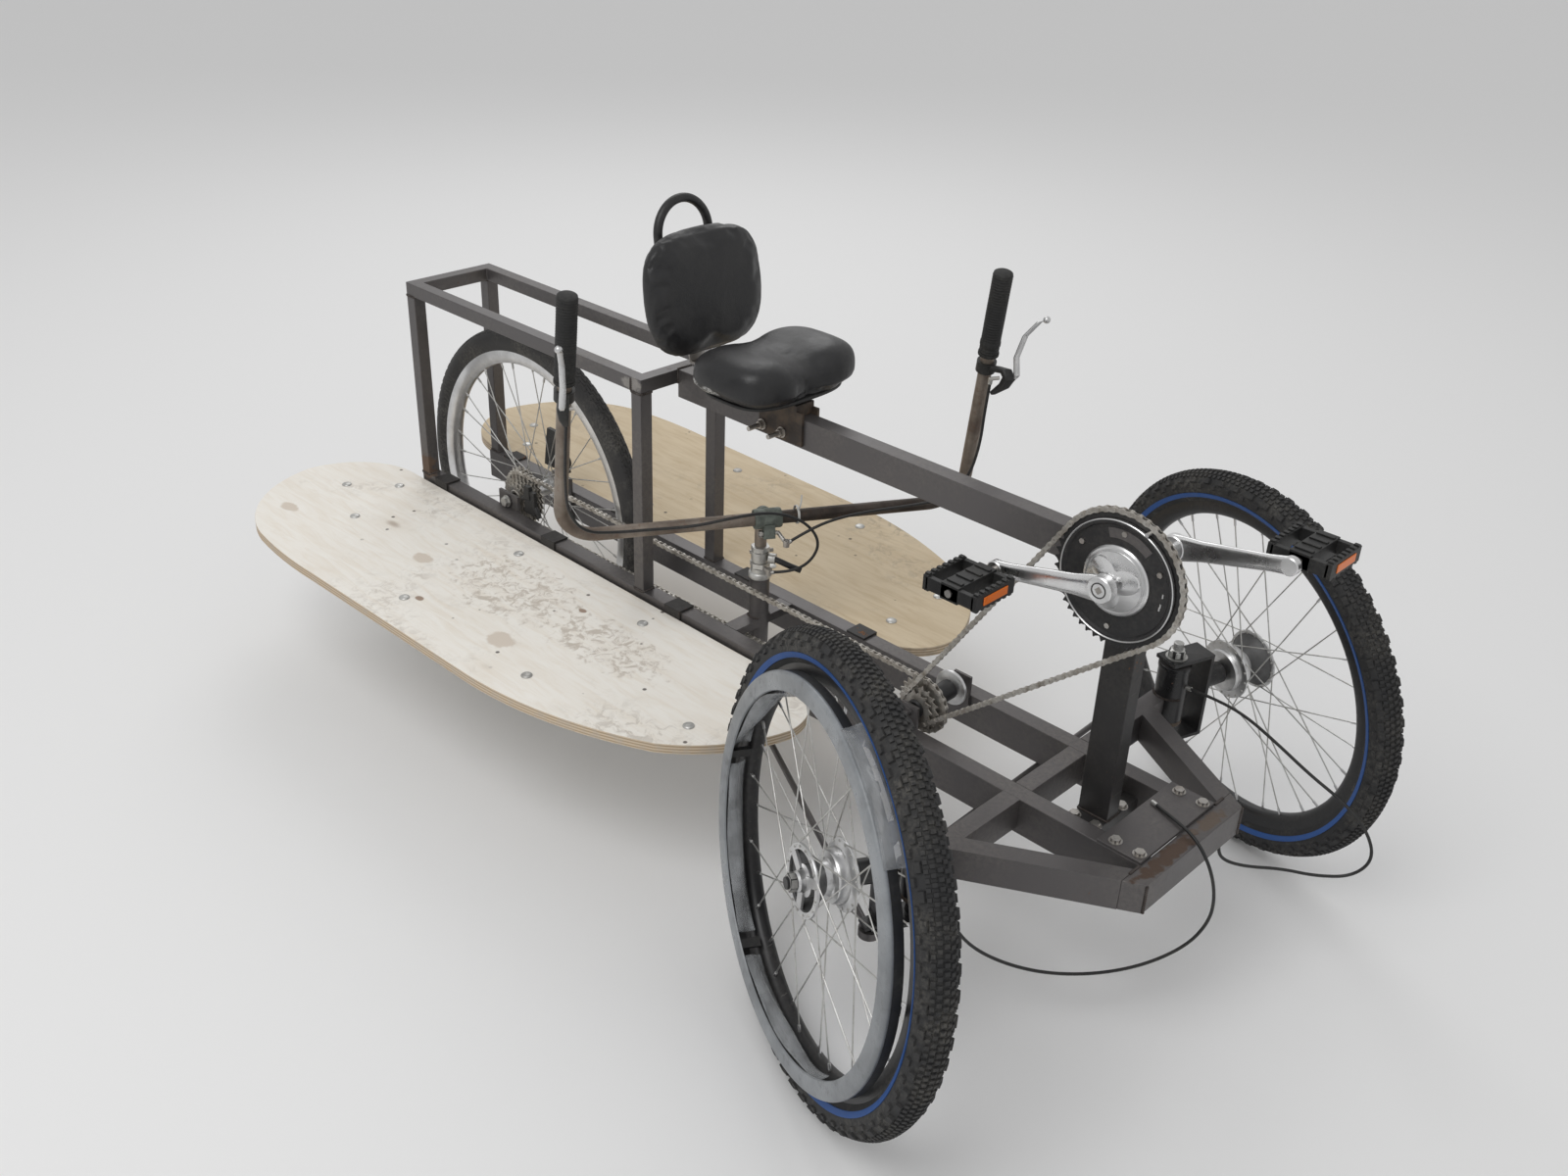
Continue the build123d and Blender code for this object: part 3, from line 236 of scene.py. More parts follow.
def carried(
    profile: np.ndarray, origins: np.ndarray, right: np.ndarray, up: np.ndarray,
    size: np.ndarray | float = 1.0,
) -> np.ndarray:
    """A flat profile carried along a path: origin + size * (x * right + y * up) at each station.

    Args:
        profile: array (m, 2), millimetres.
        origins: array (n, 3), metres.
        right: array (n, 3) or (3,), the profile's first direction.
        up: array (n, 3) or (3,), its second direction.
        size: the profile's scale, one number or one for each station.

    Returns:
        Array (n, m, 3).
    """
    right, up = (np.broadcast_to(way, origins.shape)[:, None] for way in (right, up))
    scale = MM * np.broadcast_to(size, len(origins))[:, None, None]
    return origins[:, None] + scale * (profile[:, :1] * right + profile[:, 1:] * up)


def tube(path: np.ndarray, radius: float | np.ndarray, sides: int = 18) -> np.ndarray:
    """A round tube: at each point of the path, radius * (cos a, sin a) across it."""
    return carried(circle(sides), path, *directions(path), radius)


def lathe(spindle: Spindle, profile: np.ndarray, steps: int = 64) -> np.ndarray:
    """A turned surface: each profile point (radius, offset) goes round the spindle."""
    angle = np.arange(steps) * 2 * np.pi / steps
    return spindle.ring(profile[None, :, 0], angle[:, None], profile[None, :, 1])


def filleted(points: np.ndarray, radius: float, steps: int = 8) -> np.ndarray:
    """A path whose corners are rounded by an arc of the radius, tangent to both runs.

    Args:
        points: array (n, 3) of corners.
        radius: the bends' radius.
        steps: points for each bend.

    Returns:
        The path with every corner replaced by its arc.
    """
    radius = MM * radius
    out = [points[0]]
    for before, corner, after in zip(points[:-2], points[1:-1], points[2:]):
        back, on = unit(before - corner), unit(after - corner)
        half = math.acos(float(np.clip(np.dot(back, on), -1, 1))) / 2
        centre = corner + unit(back + on) * radius / math.sin(half)
        start = corner + back * radius / math.tan(half) - centre
        end = corner + on * radius / math.tan(half) - centre
        share = np.linspace(0, 1, steps)[:, None]
        sweep = math.pi - 2 * half
        bend = (np.sin((1 - share) * sweep) * start + np.sin(share * sweep) * end) / math.sin(sweep)
        out.extend(centre + bend)
    return np.array([*out, points[-1]])


def dense(path: np.ndarray, step: float) -> np.ndarray:
    """A path with extra points, evenly spaced between its own.

    Args:
        path: array (n, 3).
        step: the longest way between two points.

    Returns:
        The path with at least its own points.
    """
    out = [path[:1]]
    for before, after in zip(path[:-1], path[1:]):
        count = max(1, math.ceil(float(np.linalg.norm(after - before)) / (MM * step)))
        share = np.arange(1, count + 1)[:, None] / count
        out.append(before + (after - before) * share)
    return np.concatenate(out)


def prism(outline: np.ndarray, low: float, high: float, taper: float = 1.0) -> tuple[np.ndarray, Faces]:
    """A straight block over an outline, its top scaled by the taper.

    Args:
        outline: array (n, 2).
        low: height of its foot.
        high: height of its top.
        taper: size of the top against the foot.

    Returns:
        Its points, array (2 n, 3), and its faces.
    """
    n = len(outline)
    points = np.concatenate([np.c_[outline, np.full(n, low)], np.c_[outline * taper, np.full(n, high)]])
    faces = [(i, (i + 1) % n, n + (i + 1) % n, n + i) for i in range(n)]
    return points, [*faces, tuple(range(n - 1, -1, -1)), tuple(range(n, 2 * n))]


# Pieces


def added(name: str, data: bpy.types.ID) -> bpy.types.Object:
    """A new object of this data, in the scene."""
    made = bpy.data.objects.new(name, data)
    bpy.context.scene.collection.objects.link(made)
    return made


def shaded(mesh: bpy.types.Mesh, finishes: Finishes, smooth: float) -> None:
    """Give a mesh its materials, and smooth shading where edges are flat.

    Args:
        mesh: the mesh, without materials so far.
        finishes: its materials.
        smooth: edges flatter than this many degrees are shaded smooth.
    """
    for finish in finishes:
        mesh.materials.append(finish)
    mesh.polygons.foreach_set("use_smooth", np.ones(len(mesh.polygons), bool))
    mesh.set_sharp_from_angle(angle=math.radians(smooth))


def bevelled(piece: bpy.types.Object, width: float) -> None:
    """Round a piece's sharp edges with a live bevel.

    Args:
        piece: the piece.
        width: the bevel's width.
    """
    edge = piece.modifiers.new("edge", "BEVEL")
    edge.width = MM * width
    edge.segments = 2
    edge.limit_method = "ANGLE"
    edge.angle_limit = EDGE_ANGLE
    edge.harden_normals = True


def declared(piece: bpy.types.Object, body: str, replaces: tuple[str, ...]) -> bpy.types.Object:
    """Let a piece ride on a CAD body, stand for CAD nodes and report it.

    Args:
        piece: the piece.
        body: the CAD body that carries it.
        replaces: the CAD nodes that it stands for.

    Returns:
        The piece.
    """
    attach(piece, body)
    if replaces:
        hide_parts(*replaces)
    LOG.info("%s: %d faces", piece.name, len(piece.data.polygons))
    return piece


class Skin:
    """Gathers closed surfaces as arrays and makes one mesh object of them."""

    def __init__(self, name: str) -> None:
        """Start an empty skin for a piece of this name."""
        self.name = name
        self.points: list[np.ndarray] = []
        self.faces: Faces = []
        self.tints: list[int] = []
        self.count = 0

    def take(self, points: np.ndarray, faces: Faces, tint: int) -> Skin:
        """Add vertices and faces.

        Args:
            points: an array whose last axis is x, y and z.
            faces: faces that number these points from zero.
            tint: index of the material.

        Returns:
            The skin, so that calls can follow each other.
        """
        start = self.count
        self.points.append(points.reshape(-1, 3))
        self.faces.extend(tuple(start + i for i in face) for face in faces)
        self.tints.extend([tint] * len(faces))
        self.count += points.size // 3
        return self

    def grid(self, points: np.ndarray, loop_u: bool = False, tint: int = 0) -> Skin:
        """Add a surface given as a grid of points, whose last column joins the first.

        Args:
            points: array (rows, columns, 3).
            loop_u: the last row joins the first; else a face closes each end.
            tint: index of the surface's material.

        Returns:
            The skin, so that calls can follow each other.
        """
        rows, columns = points.shape[:2]
        index = np.arange(rows * columns).reshape(rows, columns)
        wide = np.concatenate([index, index[:, :1]], 1)
        tall = np.concatenate([wide, wide[:1]], 0) if loop_u else wide
        quads = np.stack([tall[:-1, :-1], tall[1:, :-1], tall[1:, 1:], tall[:-1, 1:]], -1)
        faces = [tuple(face) for face in quads.reshape(-1, 4).tolist()]
        if not loop_u:
            faces += [tuple(index[0].tolist()), tuple(index[-1][::-1].tolist())]
        return self.take(points, faces, tint)

    def stamps(
        self, shape: np.ndarray, faces: Faces, frames: np.ndarray, origins: np.ndarray, tint: int = 0
    ) -> Skin:
        """Add one small shape at many places.

        Args:
            shape: array (points, 3) in the shape's own frame.
            faces: faces of one copy.
            frames: array (copies, 3, 3), rows are the copy's three directions.
            origins: array (copies, 3).
            tint: index of the material.

        Returns:
            The skin, so that calls can follow each other.
        """
        placed = np.einsum("pk,nkd->npd", shape, frames) + origins[:, None, :]
        starts = range(0, len(origins) * len(shape), len(shape))
        return self.take(placed, [tuple(start + i for i in face) for start in starts for face in faces], tint)

    def turned(self, spindle: Spindle, profile: Profile, steps: int, tint: int = 0) -> Skin:
        """Add a closed profile of (radius, offset) turned round a spindle."""
        return self.grid(lathe(spindle, np.array(profile, float), steps), True, tint)

    def rods(
        self, starts: np.ndarray, ends: np.ndarray, radius: float, sides: int = 8, tint: int = 0
    ) -> Skin:
        """Add straight rods between pairs of points: a unit rod scaled to each run.

        Args:
            starts: array (rods, 3), or one point.
            ends: array (rods, 3), or one point.
            radius: the rods' radius.
            sides: faces round a rod, six for a hexagon head.
            tint: index of the material.

        Returns:
            The skin, so that calls can follow each other.
        """
        starts, ends = np.atleast_2d(starts), np.atleast_2d(ends)
        along = ends - starts
        way = unit(along)
        guide = np.where(np.abs(way[:, 2:]) > 0.9, (1.0, 0.0, 0.0), UP)
        right = unit(np.cross(guide, way))
        frames = np.stack([right * radius * MM, np.cross(way, right) * radius * MM, along], 1)
        return self.stamps(*prism(circle(sides), 0.0, 1.0), frames, starts, tint)

    def blocks(
        self, size: Point, frames: np.ndarray, origins: np.ndarray, taper: float = 1.0, foot: float = 0.0,
        tint: int = 0,
    ) -> Skin:
        """Add blocks that stand on their origins.

        Args:
            size: length, width and height above the origin.
            frames: array (blocks, 3, 3), or one block's three directions.
            origins: array (blocks, 3), or one point.
            taper: size of the top against the foot.
            foot: depth below the origin.
            tint: index of the material.

        Returns:
            The skin, so that calls can follow each other.
        """
        base = np.array([(-1, -1), (1, -1), (1, 1), (-1, 1)]) * size[:2] / 2
        shape, faces = prism(base, -foot, size[2], taper)
        frames, origins = np.reshape(frames, (-1, 3, 3)), np.reshape(origins, (-1, 3))
        return self.stamps(MM * shape, faces, frames, origins, tint)

    def bar(
        self, corners: np.ndarray, bend: float, radius: float, sides: int, step: float, steps: int = 5,
        tint: int = 0,
    ) -> Skin:
        """Add a round bar along corners that are rounded.

        Args:
            corners: array (n, 3).
            bend: radius of the bends.
            radius: the bar's radius.
            sides: faces round it.
            step: the longest way between two of its rings.
            steps: rings for each bend.
            tint: index of the material.

        Returns:
            The skin, so that calls can follow each other.
        """
        return self.grid(tube(dense(filleted(corners, bend, steps), step), radius, sides), tint=tint)

    def build(
        self, body: str, finishes: Finishes, replaces: tuple[str, ...] = (), smooth: float = 35.0,
        bevel: float = 0.0,
    ) -> bpy.types.Object:
        """Args:
            body: the CAD body that carries the piece.
            finishes: materials in the order of the tints.
            replaces: CAD nodes that the piece stands for.
            smooth: edges flatter than this many degrees are shaded smooth.
            bevel: width of a live bevel on sharp edges, zero for none.

        Returns:
            The finished object.
        """
        mesh = bpy.data.meshes.new(self.name)
        mesh.from_pydata(np.concatenate(self.points).tolist(), [], self.faces)
        mesh.polygons.foreach_set("material_index", np.array(self.tints, np.int32))
        work = bmesh.new()
        work.from_mesh(mesh)
        bmesh.ops.remove_doubles(work, verts=work.verts, dist=SAME_POINT)
        bmesh.ops.dissolve_degenerate(work, edges=work.edges, dist=SAME_POINT / 10)
        bmesh.ops.recalc_face_normals(work, faces=work.faces)
        work.to_mesh(mesh)
        work.free()
        shaded(mesh, finishes, smooth)
        piece = added(self.name, mesh)
        if bevel:
            bevelled(piece, bevel)
        return declared(piece, body, replaces)


# Finishes


class Recipe:
    """A material's node tree, grown from small named steps on Object coordinates."""

    def __init__(self, name: str) -> None:
        """Start a material with a Principled shader."""
        self.material = bpy.data.materials.new(name)
        self.material.use_nodes = True
        self.tree = self.material.node_tree
        self.shader = self.tree.nodes["Principled BSDF"]
        self.place = self.tree.nodes.new("ShaderNodeTexCoord").outputs["Object"]

    def node(self, kind: str, inputs: dict | None = None, **settings: object) -> bpy.types.Node:
        """Add a node, set its properties, and fill its inputs with values or sockets.

        Args:
            kind: the node's type.
            inputs: values or sockets by the input's name or number.
            settings: the node's properties.

        Returns:
            The node.
        """
        made = self.tree.nodes.new(kind)
        for key, value in settings.items():
            setattr(made, key, value)
        for key, value in (inputs or {}).items():
            self.feed(made.inputs[key], value)
        return made

    def feed(self, socket: Socket, value: object) -> None:
        """Link a socket, or set its value.

        Args:
            socket: the input.
            value: another node's output, a number, or a colour, which gets its alpha here.
        """
        if isinstance(value, Socket):
            self.tree.links.new(value, socket)
        elif socket.type == "RGBA" and len(value) == 3:
            socket.default_value = (*value, 1.0)
        else:
            socket.default_value = value

    def vector(self, operation: str, *values: object) -> bpy.types.Node:
        """One Vector Math node."""
        return self.node("ShaderNodeVectorMath", dict(enumerate(values)), operation=operation)

    def stretch(self, scale: Point, vector: Socket) -> Socket:
        """A vector scaled in x, y and z."""
        made = self.node("ShaderNodeMapping", {"Vector": vector, "Scale": scale}, vector_type="POINT")
        return made.outputs[0]

    def noise(
        self, scale: float, detail: float = 4.0, rough: float = 0.55, warp: float = 0.0,
        place: Socket | None = None,
    ) -> Socket:
        """Fractal noise from 0 to 1.

        Args:
            scale: features per metre.
            detail: octaves.
            rough: strength of the finer octaves.
            warp: how far the pattern is drawn out of shape.
            place: a vector instead of the Object coordinates.

        Returns:
            The noise.
        """
        inputs = {"Vector": place or self.place, "Scale": scale, "Detail": detail, "Roughness": rough}
        return self.node("ShaderNodeTexNoise", inputs | {"Distortion": warp}).outputs["Fac"]

    def cells(self, scale: float, place: Socket | None = None) -> Socket:
        """Distance to the nearest of scattered points."""
        made = self.node("ShaderNodeTexVoronoi", {"Vector": place or self.place, "Scale": scale})
        return made.outputs["Distance"]

    def band(self, value: Socket, low: float, high: float, top: float = 1.0) -> Socket:
        """A value mapped smoothly from low..high to 0..top."""
        inputs = {"Value": value, "From Min": low, "From Max": high, "To Min": 0.0, "To Max": top}
        return self.node("ShaderNodeMapRange", inputs, interpolation_type="SMOOTHSTEP").outputs["Result"]

    def maths(self, operation: str, *values: object, clamp: bool = False) -> Socket:
        """One Math node."""
        made = self.node("ShaderNodeMath", dict(enumerate(values)), operation=operation, use_clamp=clamp)
        return made.outputs[0]

    def times(self, first: object, second: object) -> Socket:
        """A product, clamped to 0..1."""
        return self.maths("MULTIPLY", first, second, clamp=True)

    def plus(self, first: object, second: object) -> Socket:
        """A sum, clamped to 0..1."""
        return self.maths("ADD", first, second, clamp=True)

    def rest(self, value: object, whole: float = 1.0) -> Socket:
        """What is left of the whole, clamped to 0..1."""
        return self.maths("SUBTRACT", whole, value, clamp=True)

    def mix(self, share: object, first: object, second: object) -> Socket:
        """Mix two colours.

        Args:
            share: how much of the second.
            first: a colour, a socket or a plain number, which counts as a grey.
            second: the same.

        Returns:
            The mixed colour.
        """
        made = self.node("ShaderNodeMix", data_type="RGBA")
        for index, value in ((0, share), (6, first), (7, second)):
            self.feed(made.inputs[index], (value,) * 3 if index and isinstance(value, float) else value)
        return made.outputs[2]

    def spot(self, patch: Patch, grain: float = 60.0) -> Socket:
        """A ragged patch: one inside an ellipsoid about its centre, fading to zero outside.

        Args:
            patch: its centre, its reach and how ragged its edge is.
            grain: features per metre of the edge.

        Returns:
            The patch's share of the surface.
        """
        moved = self.vector("SUBTRACT", self.place, patch.centre).outputs[0]
        inverse = tuple(1 / reach for reach in patch.reach)
        distance = self.vector("LENGTH", self.stretch(inverse, moved)).outputs["Value"]
        edge = self.maths("MULTIPLY_ADD", self.noise(grain), 2 * patch.ragged, distance)
        return self.rest(self.band(edge, 0.75 + patch.ragged, 1.1 + patch.ragged))

    def bump(self, height: Socket, depth: float, before: Socket | None = None) -> Socket:
        """A bump of this depth in metres, on top of an earlier one."""
        inputs = {"Height": height, "Distance": depth, "Strength": 1.0}
        inputs |= {"Normal": before} if before else {}
        return self.node("ShaderNodeBump", inputs).outputs["Normal"]

    def finish(self, **inputs: object) -> bpy.types.Material:
        """Fill the shader's inputs, named with underscores for spaces, and return the material."""
        for key, value in inputs.items():
            self.feed(self.shader.inputs[key.replace("_", " ")], value)
        return self.material


@dataclass(frozen=True)
class Patch:
    """A worn place in a coat: where it is, how far it reaches and what shows there."""

    centre: Point
    reach: Point
    colour: Colour
    metal: float = 0.0
    rough: float = 0.7
    ragged: float = 0.5


@dataclass(frozen=True)
class WornPaint:
    """Dark paint on steel, with dust, fine scratches, chips to rust and worn patches."""

    name: str
    colour: Colour = (0.012, 0.012, 0.013)
    dust: Colour = (0.11, 0.10, 0.09)
    rust: Colour = (0.16, 0.07, 0.03)
    dusty: float = 0.35
    chips: float = 0.64
    rough: float = 0.38
    metal: float = 0.0
    patches: tuple[Patch, ...] = ()
    scratch: Colour = (0.2, 0.19, 0.18)

    def make(self) -> bpy.types.Material:
        """Grow the material: dust in clouds, lines along y, chips, then the patches over all."""
        r = Recipe(self.name)
        cloud = r.noise(7.0, 6.0, 0.6)
        speck = r.noise(140.0, 6.0, 0.7)
        dirt = r.times(r.band(cloud, 0.35, 0.75, self.dusty), r.band(speck, 0.3, 0.7))
        colour = r.mix(dirt, self.colour, self.dust)
        line = r.noise(9.0, 3.0, 0.6, place=r.stretch((40.0, 3.0, 40.0), r.place))
        colour = r.mix(r.band(line, 0.66, 0.72, 0.35), colour, self.scratch)
        chip = r.band(r.noise(48.0, 8.0, 0.75), self.chips, self.chips + 0.03)
        colour = r.mix(chip, colour, self.rust)
        rough = r.plus(r.band(cloud, 0.2, 0.8, 0.25), self.rough)
        rough = r.plus(rough, r.times(chip, 0.3))
        metal = r.mix(chip, self.metal, 0.0)
        for patch in self.patches:
            share = r.spot(patch)
            grain = r.mix(r.noise(220.0, 5.0, 0.7), patch.colour, tuple(0.55 * c for c in patch.colour))
            colour = r.mix(share, colour, grain)
            rough = r.mix(share, rough, patch.rough)
            metal = r.mix(share, metal, patch.metal)
        relief = r.bump(chip, -0.0002, r.bump(speck, 0.00012))
        return r.finish(Base_Color=colour, Roughness=rough, Metallic=metal, Normal=relief)


@dataclass(frozen=True)
class Metal:
    """Bare or plated metal: two tones in clouds, grime in the low places and a fine grain."""

    name: str
    colour: Colour
    second: Colour
    grime: Colour = (0.05, 0.04, 0.03)
    grimy: float = 0.3
    rough: float = 0.35
    metal: float = 1.0
    cloud: float = 18.0
    grain: float = 380.0
    depth: float = 0.00008

    def make(self) -> bpy.types.Material:
        """Grow the material; grime is rougher than the metal and less metallic."""
        r = Recipe(self.name)
        cloud = r.noise(self.cloud, 6.0, 0.62)
        colour = r.mix(r.band(cloud, 0.35, 0.68), self.colour, self.second)
        dirt = r.band(r.noise(self.cloud * 5.0, 7.0, 0.75), 0.52, 0.7, self.grimy)
        colour = r.mix(dirt, colour, self.grime)
        rough = r.plus(r.band(cloud, 0.2, 0.8, 0.18), self.rough)
        rough = r.plus(rough, r.times(dirt, 0.4))
        metal = r.rest(r.times(dirt, 0.7), self.metal)
        relief = r.bump(r.noise(self.grain, 3.0, 0.6), self.depth)
        return r.finish(Base_Color=colour, Roughness=rough, Metallic=metal, Normal=relief)


@dataclass(frozen=True)
class Plastic:
    """Rubber or plastic: one colour with dust in clouds and a fine moulded grain."""

    name: str
    colour: Colour
    dust: Colour = (0.16, 0.15, 0.13)
    dusty: float = 0.25
    rough: float = 0.55
    grain: float = 600.0
    depth: float = 0.00006

    def make(self) -> bpy.types.Material:
        """Grow the material."""
        r = Recipe(self.name)
        cloud = r.noise(14.0, 6.0, 0.65)
        speck = r.noise(190.0, 5.0, 0.7)
        dirt = r.times(r.band(cloud, 0.38, 0.72, self.dusty), r.band(speck, 0.35, 0.65))
        colour = r.mix(dirt, self.colour, self.dust)
        rough = r.plus(r.band(cloud, 0.2, 0.8, 0.2), self.rough)
        relief = r.bump(r.noise(self.grain, 3.0), self.depth)
        return r.finish(Base_Color=colour, Roughness=rough, Normal=relief)


@dataclass(frozen=True)
class Plywood:
    """Weathered plywood: pale face veneer with soft grain, knots and specks, and plies on the edges."""

    name: str
    pale: Colour = (0.87, 0.84, 0.78)
    dark: Colour = (0.77, 0.70, 0.60)
    stain: Colour = (0.48, 0.43, 0.37)
    marks: tuple[Patch, ...] = ()
    knot: Colour = (0.25, 0.16, 0.095)
    speck: Colour = (0.07, 0.055, 0.045)
    plies: tuple[Colour, Colour] = ((0.66, 0.55, 0.41), (0.42, 0.31, 0.20))
    ply: float = 0.018 / 7
    smeared: float = 0.5

    def make(self, top: float) -> bpy.types.Material:
        """Grow the material, its face where the surface lies flat and its plies elsewhere.

        Args:
            top: height of the board's top face in metres.

        Returns:
            The material.
        """
        r = Recipe(self.name)
        long = r.stretch((1.3, 9.0, 9.0), r.place)
        streak = r.noise(7.0, 5.0, 0.65, 1.0, long)
        knots = self.knots(r)
        flat = r.maths("ABSOLUTE", self.height(r, r.node("ShaderNodeNewGeometry").outputs["Normal"]))
        colour = r.mix(r.band(flat, 0.4, 0.8), self.edge(r, top), self.face(r, long, streak, knots))
        rough = r.plus(r.band(streak, 0.2, 0.8, 0.15), 0.62)
        relief = r.bump(streak, 0.0003, r.bump(knots, 0.0004))
        return r.finish(Base_Color=colour, Roughness=rough, Normal=relief)

    @staticmethod
    def height(r: Recipe, vector: Socket) -> Socket:
        """The z of a vector."""
        return r.node("ShaderNodeSeparateXYZ", {0: vector}).outputs["Z"]

    @staticmethod
    def knots(r: Recipe) -> Socket:
        """Distance to the nearest knot, over coordinates that wander a little."""
        wander = r.node("ShaderNodeTexNoise", {"Vector": r.place, "Scale": 6.0}).outputs["Color"]
        bent = r.vector("MULTIPLY_ADD", wander, (0.05, 0.05, 0.0), r.place).outputs[0]
        return r.cells(1.0, r.stretch((3.1, 5.2, 0.001), bent))

    def face(self, r: Recipe, long: Socket, streak: Socket, knots: Socket) -> Socket:
        """The face veneer's colour.

        Args:
            r: the material's recipe.
            long: coordinates drawn out along the board.
            streak: the grain.
            knots: distance to the nearest knot.

        Returns:
            Grain, knots with their haloes, dark specks, smudges and the marks.
        """
        grain = r.mix(r.band(streak, 0.38, 0.78, 0.7), self.pale, self.dark)
        grain = r.mix(r.band(r.noise(2.0, 3.0, 0.5, 0.8, long), 0.45, 0.75, 0.45), grain, self.dark)
        halo = r.rest(r.band(knots, 0.05, 0.22))
        grain = r.mix(r.times(halo, 0.4), grain, self.dark)
        grain = r.mix(r.times(r.rest(r.band(knots, 0.03, 0.085)), 0.65), grain, self.knot)
        specks = r.rest(r.band(r.cells(23.0), 0.06, 0.10))
        grain = r.mix(r.times(specks, r.band(r.noise(6.0, 4.0), 0.44, 0.54, 0.9)), grain, self.speck)
        rub = r.band(r.noise(46.0, 6.0, 0.7, 1.0), 0.45, 0.62)
        face = r.mix(r.times(r.band(r.noise(3.2, 5.0, 0.6), 0.5, 0.7, 0.75), rub), grain, self.stain)
        for mark in self.marks:
            share = r.spot(mark)
            face = r.mix(r.times(share, rub) if mark.ragged > self.smeared else share, face, mark.colour)
        return face

    def edge(self, r: Recipe, top: float) -> Socket:
        """The edge's colour: pale and dark plies in turn, by the depth below the top, and stains.

        Args:
            r: the material's recipe.
            top: height of the board's top face in metres.

        Returns:
            The colour.
        """
        depth = r.maths("MULTIPLY_ADD", self.height(r, r.place), -1.0, top)
        odd = r.maths("MODULO", r.maths("DIVIDE", depth, self.ply), 2.0)
        edge = r.mix(r.band(r.maths("SUBTRACT", odd, 1.0), -0.08, 0.08), *self.plies)
        return r.mix(r.band(r.noise(60.0, 5.0), 0.42, 0.7, 0.5), edge, self.stain)


@dataclass(frozen=True)
class Vinyl:
    """Seat cover: black leathercloth with a pebbled grain, creases, shine and pale scuffs."""

    name: str
    colour: Colour = (0.012, 0.012, 0.013)
    worn: Colour = (0.035, 0.034, 0.034)
    scuffs: tuple[Patch, ...] = ()

    def make(self) -> bpy.types.Material:
        """Grow the material; a scuff shows on the high places of a fine noise."""
        r = Recipe(self.name)
        cloud = r.noise(16.0, 5.0, 0.6)
        colour = r.mix(r.band(cloud, 0.4, 0.7, 0.5), self.colour, self.worn)
        rough = r.plus(r.band(cloud, 0.2, 0.8, 0.22), 0.3)
        for scuff in self.scuffs:
            share = r.times(r.spot(scuff), r.band(r.noise(240.0, 6.0, 0.75), 0.44, 0.56))
            colour = r.mix(share, colour, scuff.colour)
            rough = r.mix(share, rough, scuff.rough)
        pebble = r.bump(r.cells(700.0), 0.00012)
        crease = r.bump(r.noise(38.0, 6.0, 0.7, 1.5), 0.0006, pebble)
        return r.finish(Base_Color=colour, Roughness=rough, Normal=crease)


@dataclass(frozen=True)
class Film:
    """Thin milky plastic film, glossy and partly seen through."""

    name: str
    colour: Colour
    alpha: float

    def make(self) -> bpy.types.Material:
        """Grow the material."""
        r = Recipe(self.name)
        cloud = r.noise(22.0, 5.0, 0.6, 1.0)
        colour = r.mix(r.band(cloud, 0.35, 0.7), self.colour, tuple(0.6 * c for c in self.colour))
        relief = r.bump(r.noise(30.0, 3.0, 0.5, 2.0), 0.002)
        return r.finish(Base_Color=colour, Roughness=0.16, Alpha=self.alpha, Normal=relief)


